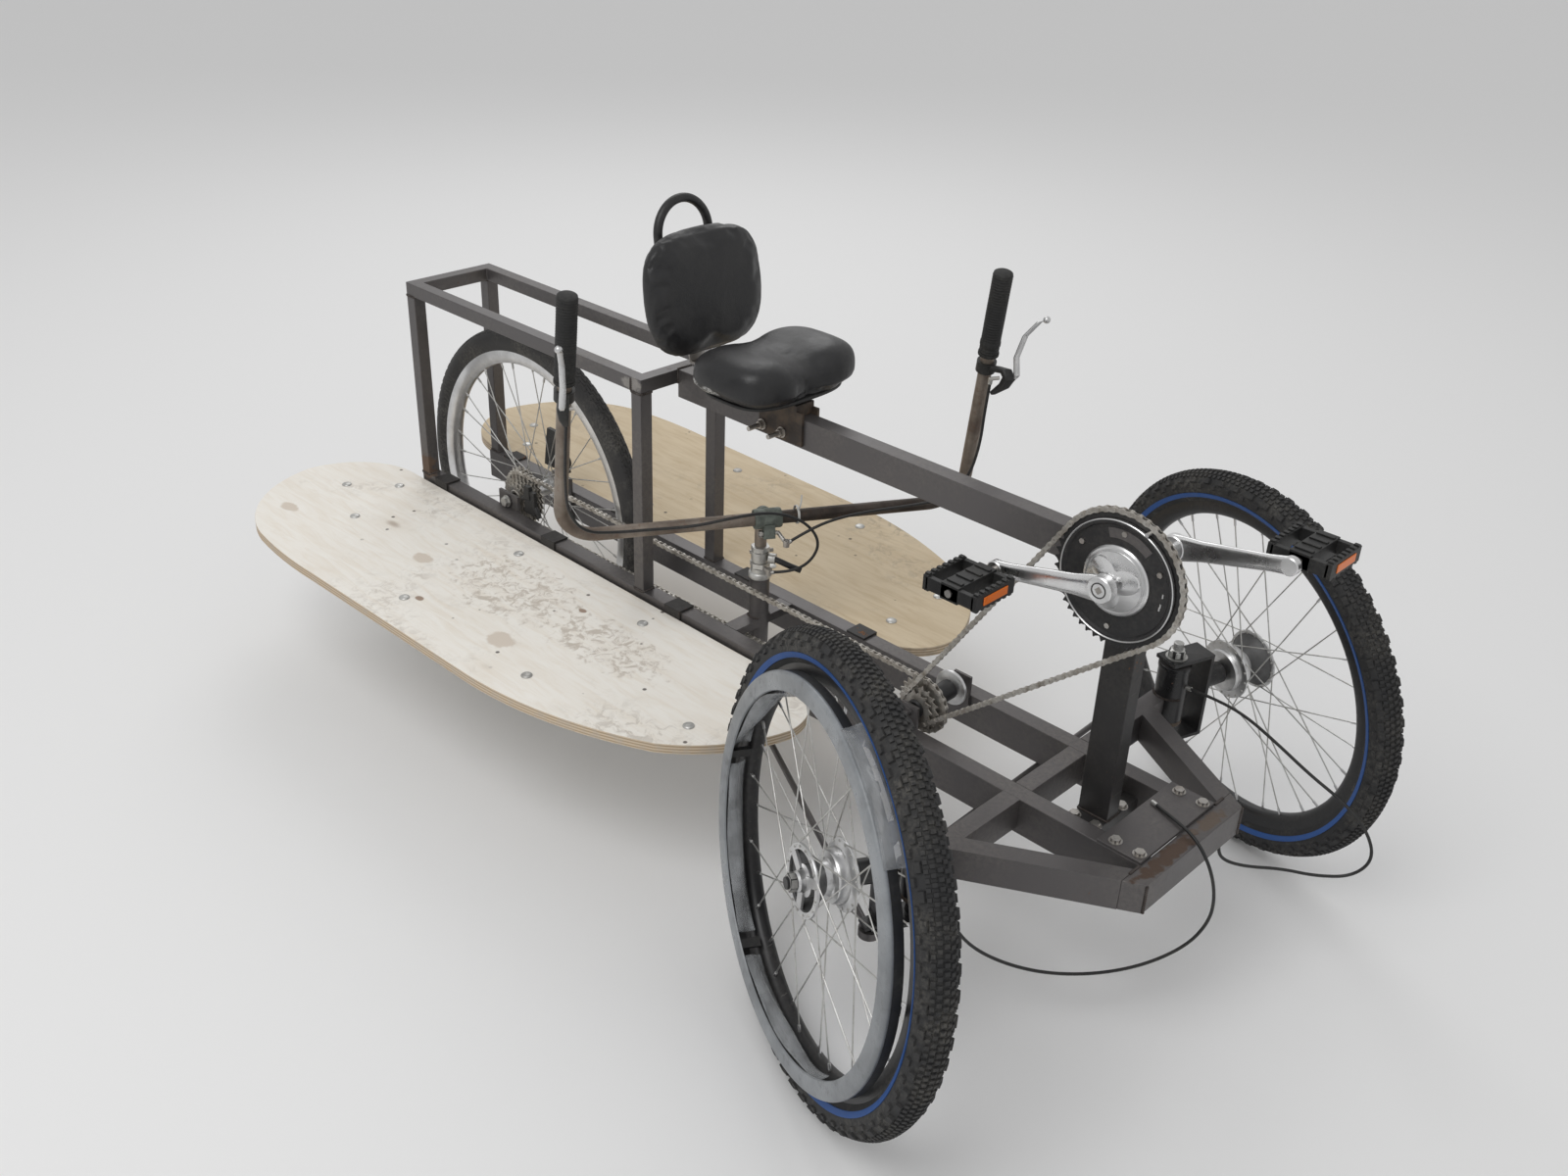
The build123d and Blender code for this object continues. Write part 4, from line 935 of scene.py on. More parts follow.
class Palette:
    """Every finish of the trike, made once."""

    board_top = 302.0
    rust: Colour = (0.095, 0.06, 0.042)
    pale_scuff: Colour = (0.6, 0.6, 0.58)
    smear: Colour = (0.57, 0.51, 0.44)
    oval: Colour = (0.66, 0.585, 0.50)
    knot: Colour = (0.34, 0.25, 0.19)

    def __init__(self, layout: Layout) -> None:
        """Make the materials, with the worn places put by the layout."""
        self.layout = layout
        self.steels()
        self.metals()
        self.plastics()
        self.boards()

    def steels(self) -> None:
        """Make the painted and the bare dark steels."""
        at = self.layout.spot
        worn = (
            Patch(at(222, -50, 316), (0.013, 0.09, 0.006), self.rust, 0.1, 0.75, 0.9),
            Patch(at(222, 60, 316), (0.012, 0.04, 0.006), (0.15, 0.115, 0.09), 0.3, 0.6, 0.9),
            Patch(at(-845, -99, 701), (0.026, 0.008, 0.012), (0.34, 0.32, 0.3), 0.3, 0.5, 0.9),
            Patch(at(-1500, -98, 330), (0.03, 0.02, 0.03), (0.15, 0.10, 0.07), 0.0, 0.8, 0.9),
        )
        self.frame = WornPaint(
            "frame_steel", (0.115, 0.108, 0.108), (0.24, 0.22, 0.20), (0.12, 0.07, 0.045), 0.5, 0.66, 0.3,
            0.6, worn,
        ).make()
        self.post = WornPaint(
            "post_steel", (0.022, 0.021, 0.021), (0.10, 0.09, 0.08), dusty=0.4, rough=0.34
        ).make()
        self.knuckle = WornPaint(
            "knuckle_paint", (0.009, 0.009, 0.010), dusty=0.25, rough=0.2, chips=0.68
        ).make()
        self.strap = WornPaint("strap_paint", (0.02, 0.018, 0.017), chips=0.6, rough=0.5).make()
        self.black_metal = WornPaint("black_metal", (0.01, 0.01, 0.011), rough=0.3, chips=0.75).make()
        self.weld = Metal(
            "weld", (0.10, 0.09, 0.085), (0.055, 0.045, 0.04), (0.10, 0.045, 0.02), 0.5, 0.45, 0.7, 60.0
        ).make()
        self.dark_bar = Metal(
            "dark_bar", (0.085, 0.07, 0.06), (0.045, 0.036, 0.03), (0.09, 0.045, 0.025), 0.5, 0.4, 0.7, 20.0
        ).make()
        self.raw = Metal(
            "raw_tube", (0.30, 0.26, 0.22), (0.17, 0.135, 0.11), (0.16, 0.08, 0.04), 0.55, 0.42, 0.75, 12.0
        ).make()
        self.rusty = Metal(
            "rusty_steel", (0.05, 0.042, 0.037), (0.125, 0.095, 0.07), (0.09, 0.045, 0.025), 0.6, 0.5, 0.5,
            40.0,
        ).make()
        self.chain = Metal(
            "chain_steel", (0.58, 0.56, 0.52), (0.36, 0.33, 0.29), (0.12, 0.08, 0.055), 0.4, 0.36, 0.85, 60.0
        ).make()

    def metals(self) -> None:
        """Make the bright metals and the hub's dark grey inside, which is painted shade."""
        self.green = Metal(
            "green_clamp", (0.19, 0.215, 0.19), (0.11, 0.125, 0.11), (0.09, 0.06, 0.04), 0.6, 0.5, 0.5, 70.0
        ).make()
        self.zinc = Metal("zinc", (0.62, 0.62, 0.6), (0.45, 0.44, 0.42), grimy=0.3, rough=0.36).make()
        self.bolt = Metal("bolt_steel", (0.55, 0.53, 0.5), (0.36, 0.33, 0.3), grimy=0.35, rough=0.34).make()
        # painted shade: a dark grey for the hub's inside, seen through its windows
        self.shade = Metal("hub_shade", (0.20, 0.20, 0.20), (0.13, 0.13, 0.13), grimy=0.3, rough=0.45).make()
        self.alloy = Metal("alloy", (0.72, 0.72, 0.72), (0.58, 0.58, 0.58), grimy=0.2, rough=0.26).make()
        self.crank = Metal("crank_alloy", (0.8, 0.8, 0.8), (0.68, 0.68, 0.68), grimy=0.08, rough=0.2).make()

    def plastics(self) -> None:
        """Make rubber, plastic, film and the seat's cover."""
        self.rubber = Plastic("tyre_rubber", (0.018, 0.018, 0.019), dusty=0.5, rough=0.62).make()
        self.rear_rubber = Plastic("rear_tyre_rubber", (0.022, 0.021, 0.021), dusty=0.6, rough=0.55).make()
        self.stripe = Plastic("tyre_stripe", (0.018, 0.085, 0.30), dusty=0.2, rough=0.5).make()
        self.grip = Plastic("grip_rubber", (0.012, 0.012, 0.012), dusty=0.15, rough=0.6).make()
        self.plastic = Plastic("black_plastic", (0.012, 0.012, 0.012), dusty=0.2, rough=0.4).make()
        self.zip_tie = Plastic("zip_tie", (0.55, 0.55, 0.53), dusty=0.15, rough=0.35).make()
        self.reflector = Plastic("reflector", (0.75, 0.16, 0.01), dusty=0.1, rough=0.2).make()
        self.hoop = Metal(
            "hoop_plastic", (0.27, 0.285, 0.30), (0.17, 0.18, 0.19), (0.09, 0.085, 0.08), 0.45, 0.22, 0.0,
            9.0, depth=0.0002,
        ).make()
        self.film = Film("hoop_film", (0.40, 0.415, 0.43), 0.4).make()
        at = self.layout.spot
        scuffs = (
            Patch(at(-668, -116, 759), (0.022, 0.03, 0.010), self.pale_scuff, 0.0, 0.6, 0.9),
            Patch(at(-628, -126, 757), (0.020, 0.02, 0.009), self.pale_scuff, 0.0, 0.6, 0.9),
        )
        self.vinyl = Vinyl("seat_vinyl", scuffs=scuffs).make()

    def boards(self) -> None:
        """Make the two boards' plywood: two smears, three ovals and two knots mark the right one, and the
        left one's darker copy is painted shade.
        """
        marks = (
            (-1000, -245, 0.150, 0.085, self.smear, 0.8),
            (-745, -250, 0.140, 0.060, self.smear, 0.8),
            (-1209, -301, 0.026, 0.016, self.oval, 0.4),
            (-875, -370, 0.030, 0.022, self.oval, 0.45),
            (-1564, -372, 0.026, 0.014, self.oval, 0.4),
            (-859, -206, 0.009, 0.006, self.knot, 0.2),
            (-1085, -390, 0.010, 0.007, self.knot, 0.2),
        )
        patches = tuple(
            Patch(self.layout.spot(x, y, self.board_top), (long, wide, 0.02), colour, ragged=ragged)
            for x, y, long, wide, colour, ragged in marks
        )
        top = MM * self.board_top
        self.plywood = Plywood("plywood", marks=patches).make(top)
        # painted shade: the left board's plywood is the same wood in darker colours
        self.plywood_left = Plywood(
            "plywood_left", (0.64, 0.53, 0.37), (0.50, 0.385, 0.24), (0.3, 0.25, 0.19)
        ).make(top)


# Stage


@dataclass(frozen=True)
class Lamp:
    """A round lamp that looks at the trike: its place, its width in metres and its watts."""

    name: str
    place: Point
    width: float
    power: float


@dataclass(frozen=True)
class Studio:
    """Floor, lights and the camera, which stands where the photographer stood."""

    eye: Point = (940.0, -1599.0, 1604.7)
    yaw: float = 2.328009
    pitch: float = 0.504628
    roll: float = -0.038456
    focal_px: float = 1514.76
    image_width: float = 1600.0
    sensor_width: float = 36.0
    clip: tuple[float, float] = (0.05, 60.0)
    floor_tone: float = 0.83
    floor_reach: float = 14.0
    sky: float = 0.62
    aim: Point = (0.0, 0.0, 0.3)
    lamps: tuple[Lamp, ...] = (
        Lamp("key", (0.6, -2.6, 4.2), 2.6, 62.0),
        Lamp("fill", (-2.8, 2.4, 3.6), 3.0, 34.0),
    )

    def camera(self, layout: Layout) -> None:
        """Stand the camera at the eye, turned by yaw, pitch and roll.

        Args:
            layout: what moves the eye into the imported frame.
        """
        data = bpy.data.cameras.new("camera")
        data.sensor_width = self.sensor_width
        data.lens = self.sensor_width * self.focal_px / self.image_width
        data.clip_start, data.clip_end = self.clip
        forward = Vector((
            math.cos(self.yaw) * math.cos(self.pitch),
            math.sin(self.yaw) * math.cos(self.pitch),
            -math.sin(self.pitch),
        ))
        level = forward.cross(Vector(UP)).normalized()
        right = Matrix.Rotation(self.roll, 3, forward) @ level
        turn = Matrix((right, right.cross(forward), -forward)).transposed().to_4x4()
        camera = added("camera", data)
        camera.matrix_world = Matrix.Translation(layout.at(*self.eye)) @ turn
        bpy.context.scene.camera = camera

    def floor(self) -> None:
        """Lay a large pale floor that keeps shadows."""
        mesh = bpy.data.meshes.new("floor")
        reach = self.floor_reach
        corners = [(x * reach, y * reach, 0) for x, y in ((-1, -1), (1, -1), (1, 1), (-1, 1))]
        mesh.from_pydata(corners, [], [(0, 1, 2, 3)])
        mesh.materials.append(Recipe("floor").finish(Base_Color=(self.floor_tone,) * 3, Roughness=0.9))
        added("floor", mesh)

    def light(self) -> None:
        """Light the scene evenly, with a large soft key lamp, a fill and a white sky."""
        world = bpy.data.worlds.new("studio")
        bpy.context.scene.world = world
        world.use_nodes = True
        background = world.node_tree.nodes["Background"]
        background.inputs["Color"].default_value = (1, 1, 1, 1)
        background.inputs["Strength"].default_value = self.sky
        for lamp in self.lamps:
            data = bpy.data.lights.new(lamp.name, "AREA")
            data.shape = "DISK"
            data.size = lamp.width
            data.energy = lamp.power
            made = added(lamp.name, data)
            made.location = lamp.place
            made.rotation_euler = (Vector(self.aim) - Vector(lamp.place)).to_track_quat("-Z", "Y").to_euler()
        bpy.context.scene.view_settings.view_transform = "Standard"


# Wheels


WHEEL_STEPS = 144


@dataclass
class SubAssembly:
    """What every sub-assembly starts from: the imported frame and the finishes."""

    layout: Layout
    palette: Palette


@dataclass(frozen=True)
class TreadRow:
    """One row of tread blocks: where it lies on the tyre's round section and its block size."""

    lean: float
    count: int
    length: float
    width: float
    height: float
    phase: float = 0.0
    proud: float = -0.4


@dataclass(frozen=True)
class Tyre:
    """A tyre with a round section, rows of tread blocks and, on some, a thin coloured ring each side."""

    radius: float
    half: float
    rows: tuple[TreadRow, ...]
    stripe: Profile = ()
    bead: Profile = ((282.2, 13.5), (282.2, -13.5))
    sweep: float = 122.0
    block_taper: float = 0.8
    block_foot: float = 1.0

    def section(self) -> np.ndarray:
        """The section's (radius, offset) points: an arc over the crown from bead to bead."""
        high = max(row.height for row in self.rows if row.lean == 0)
        lean = np.radians(np.linspace(-self.sweep, self.sweep, 22))
        crown = self.radius - self.half + (self.half - high) * np.cos(lean)
        side = (self.half - 1.0 - 0.5 * high) * np.sin(lean)
        return np.concatenate([np.stack([crown, side], 1), self.bead])

    def tread(self, skin: Skin, spindle: Spindle, row: TreadRow, sign: int) -> None:
        """Add one row of blocks, standing out from the section at the row's lean.

        Args:
            skin: what gathers the tyre.
            spindle: the wheel's axis.
            row: the blocks.
            sign: 1 for the outer side, -1 for the inner one.
        """
        lean = math.radians(row.lean) * sign
        angle = (np.arange(row.count) + row.phase + (0.25 if sign < 0 else 0)) * 2 * np.pi / row.count
        base = self.half - row.height + row.proud
        origins = spindle.ring(self.radius - self.half + base * math.cos(lean), angle, base * math.sin(lean))
        out = spindle.outward(angle)
        up = out * math.cos(lean) + spindle.axis * math.sin(lean)
        across = spindle.axis * math.cos(lean) - out * math.sin(lean)
        frames = np.stack([np.cross(across, up), across, up], 1)
        skin.blocks((row.length, row.width, row.height), frames, origins, self.block_taper, self.block_foot)

    def build(self, name: str, spindle: Spindle, body: str, finishes: Finishes, node: str) -> None:
        """Make the tyre.

        Args:
            name: the piece's name.
            spindle: the wheel's axis.
            body: the body that carries it.
            finishes: rubber and, where there is a stripe, its colour.
            node: the CAD node that it stands for.
        """
        skin = Skin(name).turned(spindle, self.section(), WHEEL_STEPS)
        for row in self.rows:
            for sign in (1,) if row.lean == 0 else (1, -1):
                self.tread(skin, spindle, row, sign)
        for sign in (-1, 1) if self.stripe else ():
            skin.turned(spindle, np.array(self.stripe) * (1, sign), WHEEL_STEPS, 1)
        skin.build(body, finishes, (node,))


@dataclass(frozen=True)
class Lacing:
    """A rim with a shallow well and crossed spokes: every second one leans the other way."""

    flanges: Profile
    per_side: int = 16
    lean: float = 62.0
    hole: float = 4.0
    spoke: float = 1.1
    nipple: float = 2.1
    nipple_length: float = 14.0
    seat: float = 262.5
    half_rim: Profile = (
        (262, 0), (262.4, 6), (266, 10), (272, 12.2), (280, 12.8), (286.2, 13), (286.8, 13.8),
        (285.8, 14.6), (279, 14.7), (270, 14.1), (264, 11.2), (260, 6), (258.8, 0),
    )

    def rim(self, name: str, spindle: Spindle, body: str, finish: bpy.types.Material, node: str) -> None:
        """Make the rim from its half section and that half mirrored.

        Args:
            name: the piece's name.
            spindle: the wheel's axis.
            body: the body that carries it.
            finish: its material.
            node: the CAD node that it stands for.
        """
        half = np.array(self.half_rim)
        section = np.concatenate([half, half[-2:0:-1] * (1, -1)])
        Skin(name).turned(spindle, section, WHEEL_STEPS).build(body, [finish], (node,))

    def spokes(self, name: str, spindle: Spindle, body: str, finishes: Finishes) -> None:
        """Make the spokes with their nipples at the rim.

        Args:
            name: the piece's name.
            spindle: the wheel's axis.
            body: the body that carries them.
            finishes: the spokes' material, and the nipples' where it is another.
        """
        feet, tips = [], []
        index = np.arange(self.per_side)
        lean = np.where(index % 2, 1.0, -1.0)
        for row, (offset, radius) in enumerate(self.flanges):
            around = 2 * np.pi * (index + 0.5 * row) / self.per_side
            twist = lean * math.radians(self.lean)
            feet.append(spindle.ring(radius - self.hole, around + twist, offset + 1.6 * lean))
            tips.append(spindle.ring(self.seat, around, math.copysign(4.0, offset)))
        feet, tips = np.concatenate(feet), np.concatenate(tips)
        inner = tips + MM * self.nipple_length * unit(feet - tips)
        skin = Skin(name).rods(feet, tips, self.spoke)
        skin.rods(tips, inner, self.nipple, tint=len(finishes) - 1)
        skin.build(body, finishes)


@dataclass
class FrontWheel(SubAssembly):
    """A steered front wheel: knobby tyre, black rim, crossed spokes and a large windowed hub."""

    side: Side
    tyre: Tyre = Tyre(
        333.0, 27.0,
        (
            TreadRow(0, 196, 6.2, 8.2, 3, 0, 0),
            TreadRow(19, 196, 6.2, 7.2, 3, 0.5),
            TreadRow(36, 196, 6, 6.6, 3),
            TreadRow(56, 62, 15, 10, 6, 0.5, 1.2),
            TreadRow(77, 62, 12, 7.5, 4.5, 0, 0.4),
        ),
        ((291.5, 18.5), (299.2, 22.6), (299.2, 24.6), (291.5, 21.2)),
    )
    lacing: Lacing = Lacing(((31.0, 50.0), (-26.0, 50.0)))
    barrel: Profile = (
        (9, -36), (34, -36), (36.5, -33), (36.5, -29), (50, -28), (50.3, -26), (50, -24),
        (40, -23), (37.5, -21), (37, -8), (35, -5), (26, -4), (24, -2), (22, 20),
        (22, 29), (15, 30), (14.5, 39), (12, 42), (9, 42),
    )
    flange_edge: Profile = ((41.5, 29), (50, 29), (50.7, 30.8), (50, 32.8), (41.5, 32.8))
    # painted shade: a cone behind the flange's windows, finished in dark grey
    dark_cup: Profile = ((21.5, 6), (42, 27.5), (45, 29.2), (45, 28), (42, 26.2), (21.5, 4.8))
    arms: int = 3
    arm: Point = (31, 15, 1.8)
    arm_place: tuple[float, float] = (30, 30.8)

    def build(self) -> None:
        """Make the wheel's pieces."""
        spindle, palette, label = self.layout.front_wheel(self.side), self.palette, self.side.label
        body = f"wheel_{label}"
        finishes = [palette.rubber, palette.stripe]
        self.tyre.build(f"front_tyre_{label}", spindle, body, finishes, f"tyre_{label}")
        self.lacing.rim(f"front_rim_{label}", spindle, body, palette.black_metal, f"rim_{label}")
        self.lacing.spokes(f"front_spokes_{label}", spindle, body, [palette.zinc, palette.alloy])
        self.hub(spindle, body)

    def hub(self, spindle: Spindle, body: str) -> None:
        """Make the hub: a stepped barrel, a windowed outer flange with a cup behind it in dark grey as
        painted shade, spoke heads.

        Args:
            spindle: the wheel's axis.
            body: the body that carries it.
        """
        skin = Skin(f"front_hub_{self.side.label}").turned(spindle, self.barrel, 72)
        # the cup behind the windows takes hub_shade, a dark grey that is painted shade
        skin.turned(spindle, self.flange_edge, 72).turned(spindle, self.dark_cup, 72, 2)
        angle = np.arange(self.arms) * 2 * np.pi / self.arms + 0.5
        out = spindle.outward(angle)
        frames = np.stack([out, np.cross(spindle.axis, out), np.broadcast_to(spindle.axis, out.shape)], 1)
        reach, offset = self.arm_place
        skin.blocks(self.arm, frames, spindle.ring(reach, angle, offset), 0.95, self.arm[2])
        around = np.arange(self.lacing.per_side) * 2 * np.pi / self.lacing.per_side
        for offset, radius in self.lacing.flanges:
            radius -= self.lacing.hole
            inner, outer = (spindle.ring(radius, around, offset + end) for end in (-3.2, 3.4))
            skin.rods(inner, outer, 1.9, 8, 1)
        finishes = [self.palette.alloy, self.palette.zinc, self.palette.shade]
        skin.build(body, finishes, (f"hub_{self.side.label}",))


@dataclass
class WheelHoop(SubAssembly):
    """The plastic hoop outboard of the right wheel, with clips and loose film behind it."""

    face: float = 47.0
    lip: float = 271.5
    lip_radii: tuple[float, float] = (5.5, 3.5)
    clips: tuple[float, ...] = (170, 236, -1, 60)
    films: tuple[tuple[float, float, bool], ...] = (
        (104, 166, False), (174, 232, False), (240, 298, False), (38, 76, True),
    )

    def build(self) -> None:
        """Make the ring, its dark outer wall with the clips, and the film."""
        spindle, face = self.layout.front_wheel(Side.RIGHT), self.face
        turn = np.radians(np.linspace(90, -60, 9))
        outer, inner = (
            np.stack([self.lip + radius * np.cos(lean), face - self.lip_radii[0] + radius * np.sin(lean)], 1)
            for radius, lean in zip(self.lip_radii, (turn, turn[::-1]))
        )
        front = [(250.0, face - 3.0), (251.0, face - 0.8), (260.0, face)]
        section = np.concatenate([front, outer, inner, [(260.0, face - 2.0)]])
        ring = Skin("hoop_ring").turned(spindle, section, WHEEL_STEPS)
        ring.build("wheel_right", [self.palette.hoop], ("wheel_hoop",))
        side = ((274.2, face - 8), (275.8, face - 8), (275.8, face - 22), (274.2, face - 22))
        wall = Skin("hoop_wall").turned(spindle, side, WHEEL_STEPS)
        angle = np.radians(self.clips)
        out = spindle.outward(angle)
        frames = np.stack([np.cross(spindle.axis, out), out, np.broadcast_to(spindle.axis, out.shape)], 1)
        wall.blocks((14.0, 7.0, 31.0), frames, spindle.ring(256.0, angle, 14.0), 0.9)
        wall.build("wheel_right", [self.palette.plastic])
        for index, (start, end, outside) in enumerate(self.films):
            self.film(f"hoop_film_{index}", spindle, start, end, outside)

    def film(self, name: str, spindle: Spindle, start: float, end: float, outside: bool) -> None:
        """Make one loose sheet between the ring and the rim, bellied inwards or outwards.

        The sheet is a grid over angle and depth: its radius is the edge's less a belly of
        sin(pi * u) * sin(pi * v), and each point has a twin 0.6 mm nearer the axle.

        Args:
            name: the piece's name.
            spindle: the wheel's axis.
            start: its first angle in degrees.
            end: its last angle.
            outside: it lies outside the dark wall, not inside the ring.
        """
        turn = np.linspace(0, 1, 36)[:, None]
        depth = np.linspace(0, 1, 12)[None, :]
        angle = np.radians(start + (end - start) * turn)
        belly = 22.0 * np.sin(np.pi * turn) ** 0.7 * np.sin(np.pi * (0.12 + 0.88 * depth))
        belly = belly + 3.0 * np.sin(9 * turn + 4 * depth)
        radius = 277.2 + 8.0 * depth + 0.35 * belly if outside else 254.5 + 4.0 * depth - belly
        offset = self.face - 4.0 - (self.face - 20.0) * depth
        near, far = (spindle.ring(radius - thick, angle, offset) for thick in (0, 0.6))
        sheet = Skin(name).grid(np.concatenate([near, far[:, ::-1]], 1))
        sheet.build("wheel_right", [self.palette.film], smooth=80)


@dataclass
class RearWheel(SubAssembly):
    """The driven rear wheel: smooth tyre, silver rim, crossed spokes, hub and cassette."""

    tyre: Tyre = Tyre(
        328, 22,
        (TreadRow(0, 96, 17, 5.2, 1.2), TreadRow(16, 96, 17, 5.2, 1.2, 0.5), TreadRow(32, 96, 17, 5.2, 1.2)),
    )
    lacing: Lacing = Lacing(((34.0, 24.0), (-18.0, 24.0)))
    barrel: Profile = (
        (5.8, 58), (12, 58), (14, 54), (15, 38), (24, 36), (24.2, 33), (16, 31),
        (15, 10), (15.5, -14), (24, -16), (24.2, -19), (16.5, -21), (5.8, -21.8),
    )
    sprockets: tuple[tuple[float, int], ...] = (
        (-26, 28), (-30, 26), (-34, 24), (-38, 21), (-42, 19), (-46, 17), (-50, 14),
    )
    carrier: Profile = ((11.2, -22.3), (17, -22.3), (17, -51), (15, -52.3), (11.2, -52.3))

    def build(self) -> None:
        """Make the wheel's pieces."""
        spindle, palette, body = self.layout.across("wheel_rear_spin"), self.palette, "wheel_rear"
        self.tyre.build("rear_tyre", spindle, body, [palette.rear_rubber], "tyre_rear")
        self.lacing.rim("rear_rim", spindle, body, palette.alloy, "rim_rear")
        self.lacing.spokes("rear_spokes", spindle, body, [palette.zinc])
        Skin("rear_hub").turned(spindle, self.barrel, 48).build(body, [palette.alloy], ("hub_rear",))
        cassette = Skin("rear_cassette")
        for offset, teeth in self.sprockets:
            cassette.grid(toothed(spindle, teeth, offset, 1.8, self.carrier[0][0]), True)
        cassette.turned(spindle, self.carrier, 40)
        cassette.build(body, [palette.chain], ("cassette",), smooth=25)


# Drive


PITCH = 12.7


def pitch_radius(teeth: int) -> float:
    """Radius of the chain's pins round a sprocket."""
    return PITCH / 2 / math.sin(math.pi / teeth)


def toothed(spindle: Spindle, teeth: int, offset: float, thickness: float, hole: float) -> np.ndarray:
    """A sprocket's surface: rows run round it, columns go hole, edge, edge, hole.

    The edge's radius is the pitch radius plus 2.4 mm at tooth tips and less 4 mm in the roots.

    Args:
        spindle: its axis.
        teeth: how many it has.
        offset: its middle along the axis.
        thickness: its thickness.
        hole: radius of its hole.

    Returns:
        Array (6 * teeth, 4, 3).
    """
    steps = np.arange(teeth * 6)
    edge = pitch_radius(teeth) + np.array([-4.0, -3.4, -0.5, 2.4, 2.4, -0.5])[steps % 6]
    turn = np.array([-0.42, -0.30, -0.18, -0.06, 0.06, 0.18])[steps % 6]
    angle = (steps // 6 + turn + 0.2) * 2 * np.pi / teeth
    inside = np.full_like(edge, hole)
    side = offset + thickness * np.array([-0.5, -0.5, 0.5, 0.5])
    return spindle.ring(np.stack([inside, edge, edge, inside], 1), angle[:, None], side[None, :])


@dataclass(frozen=True)
class Loop:
    """A chain's loop round two sprockets (x, z, teeth) in a plane at y."""

    first: tuple[float, float, int]
    second: tuple[float, float, int]
    y: float

    def pins(self) -> np.ndarray:
        """The pins' places in the trike's frame, evenly spaced along the belt line.

        The line is an arc round each sprocket and a straight run to the next.

        Returns:
            Array (links, 3).
        """
        (x1, z1, teeth1), (x2, z2, teeth2) = self.first, self.second
        r1, r2 = pitch_radius(teeth1), pitch_radius(teeth2)
        base = math.atan2(z2 - z1, x2 - x1)
        swing = math.acos((r1 - r2) / math.hypot(x2 - x1, z2 - z1))
        second = np.linspace(base + swing, base - swing, 200)
        first = np.linspace(base - swing, base + swing - 2 * math.pi, 200)
        x = np.concatenate([x2 + r2 * np.cos(second), x1 + r1 * np.cos(first)])
        z = np.concatenate([z2 + r2 * np.sin(second), z1 + r1 * np.sin(first)])
        x, z = np.append(x, x[0]), np.append(z, z[0])
        length = np.append(0.0, np.cumsum(np.hypot(np.diff(x), np.diff(z))))
        links = 2 * round(length[-1] / PITCH / 2)
        at = np.linspace(0, length[-1], links + 1)[:-1]
        return np.stack([np.interp(at, length, x), np.full(links, self.y), np.interp(at, length, z)], 1)


@dataclass
class Chain(SubAssembly):
    """A roller chain, link by link: side plates, rollers and pins."""

    name: str
    node: str
    loop: Loop
    plate: tuple[float, float, float] = (4.1, 2.8, 1)
    outer: float = 3.2
    inner: float = 2.1

    def build(self) -> None:
        """Make the side plates and the rollers as one piece."""
        pins = self.layout.path(self.loop.pins())
        run = np.roll(pins, -1, 0) - pins
        along = unit(run)
        side = np.broadcast_to(LEFT, along.shape)
        frames = np.stack([along, np.cross(side, along), side], 1)
        skin = Skin(self.name)
        shape, faces = self.link(float(np.linalg.norm(run, axis=1).mean()) / MM)
        for start, offset in ((0, self.outer), (1, self.inner)):
            for sign in (-1, 1):
                places = pins[start::2] + MM * offset * sign * LEFT
                skin.stamps(MM * shape, faces, frames[start::2], places)
        for half, radius, sides in ((1.6, 3.8, 10), (4.1, 1.7, 8)):
            skin.rods(pins - MM * half * LEFT, pins + MM * half * LEFT, radius, sides, 1)
        skin.build("frame", [self.palette.chain, self.palette.bolt], (self.node,), smooth=30)

    def link(self, pitch: float) -> tuple[np.ndarray, Faces]:
        """A side plate: a figure of eight from pin to pin, its thickness centred.

        Args:
            pitch: the way from pin to pin.

        Returns:
            Its points and its faces.
        """
        wide, waist, thick = self.plate
        half = np.radians(np.linspace(70, 290, 9))
        left = wide * np.stack([np.cos(half), np.sin(half)], 1)
        outline = np.concatenate([left, [(pitch / 2, -waist)], (pitch, 0) - left, [(pitch / 2, waist)]])
        return prism(outline, -thick / 2, thick / 2)


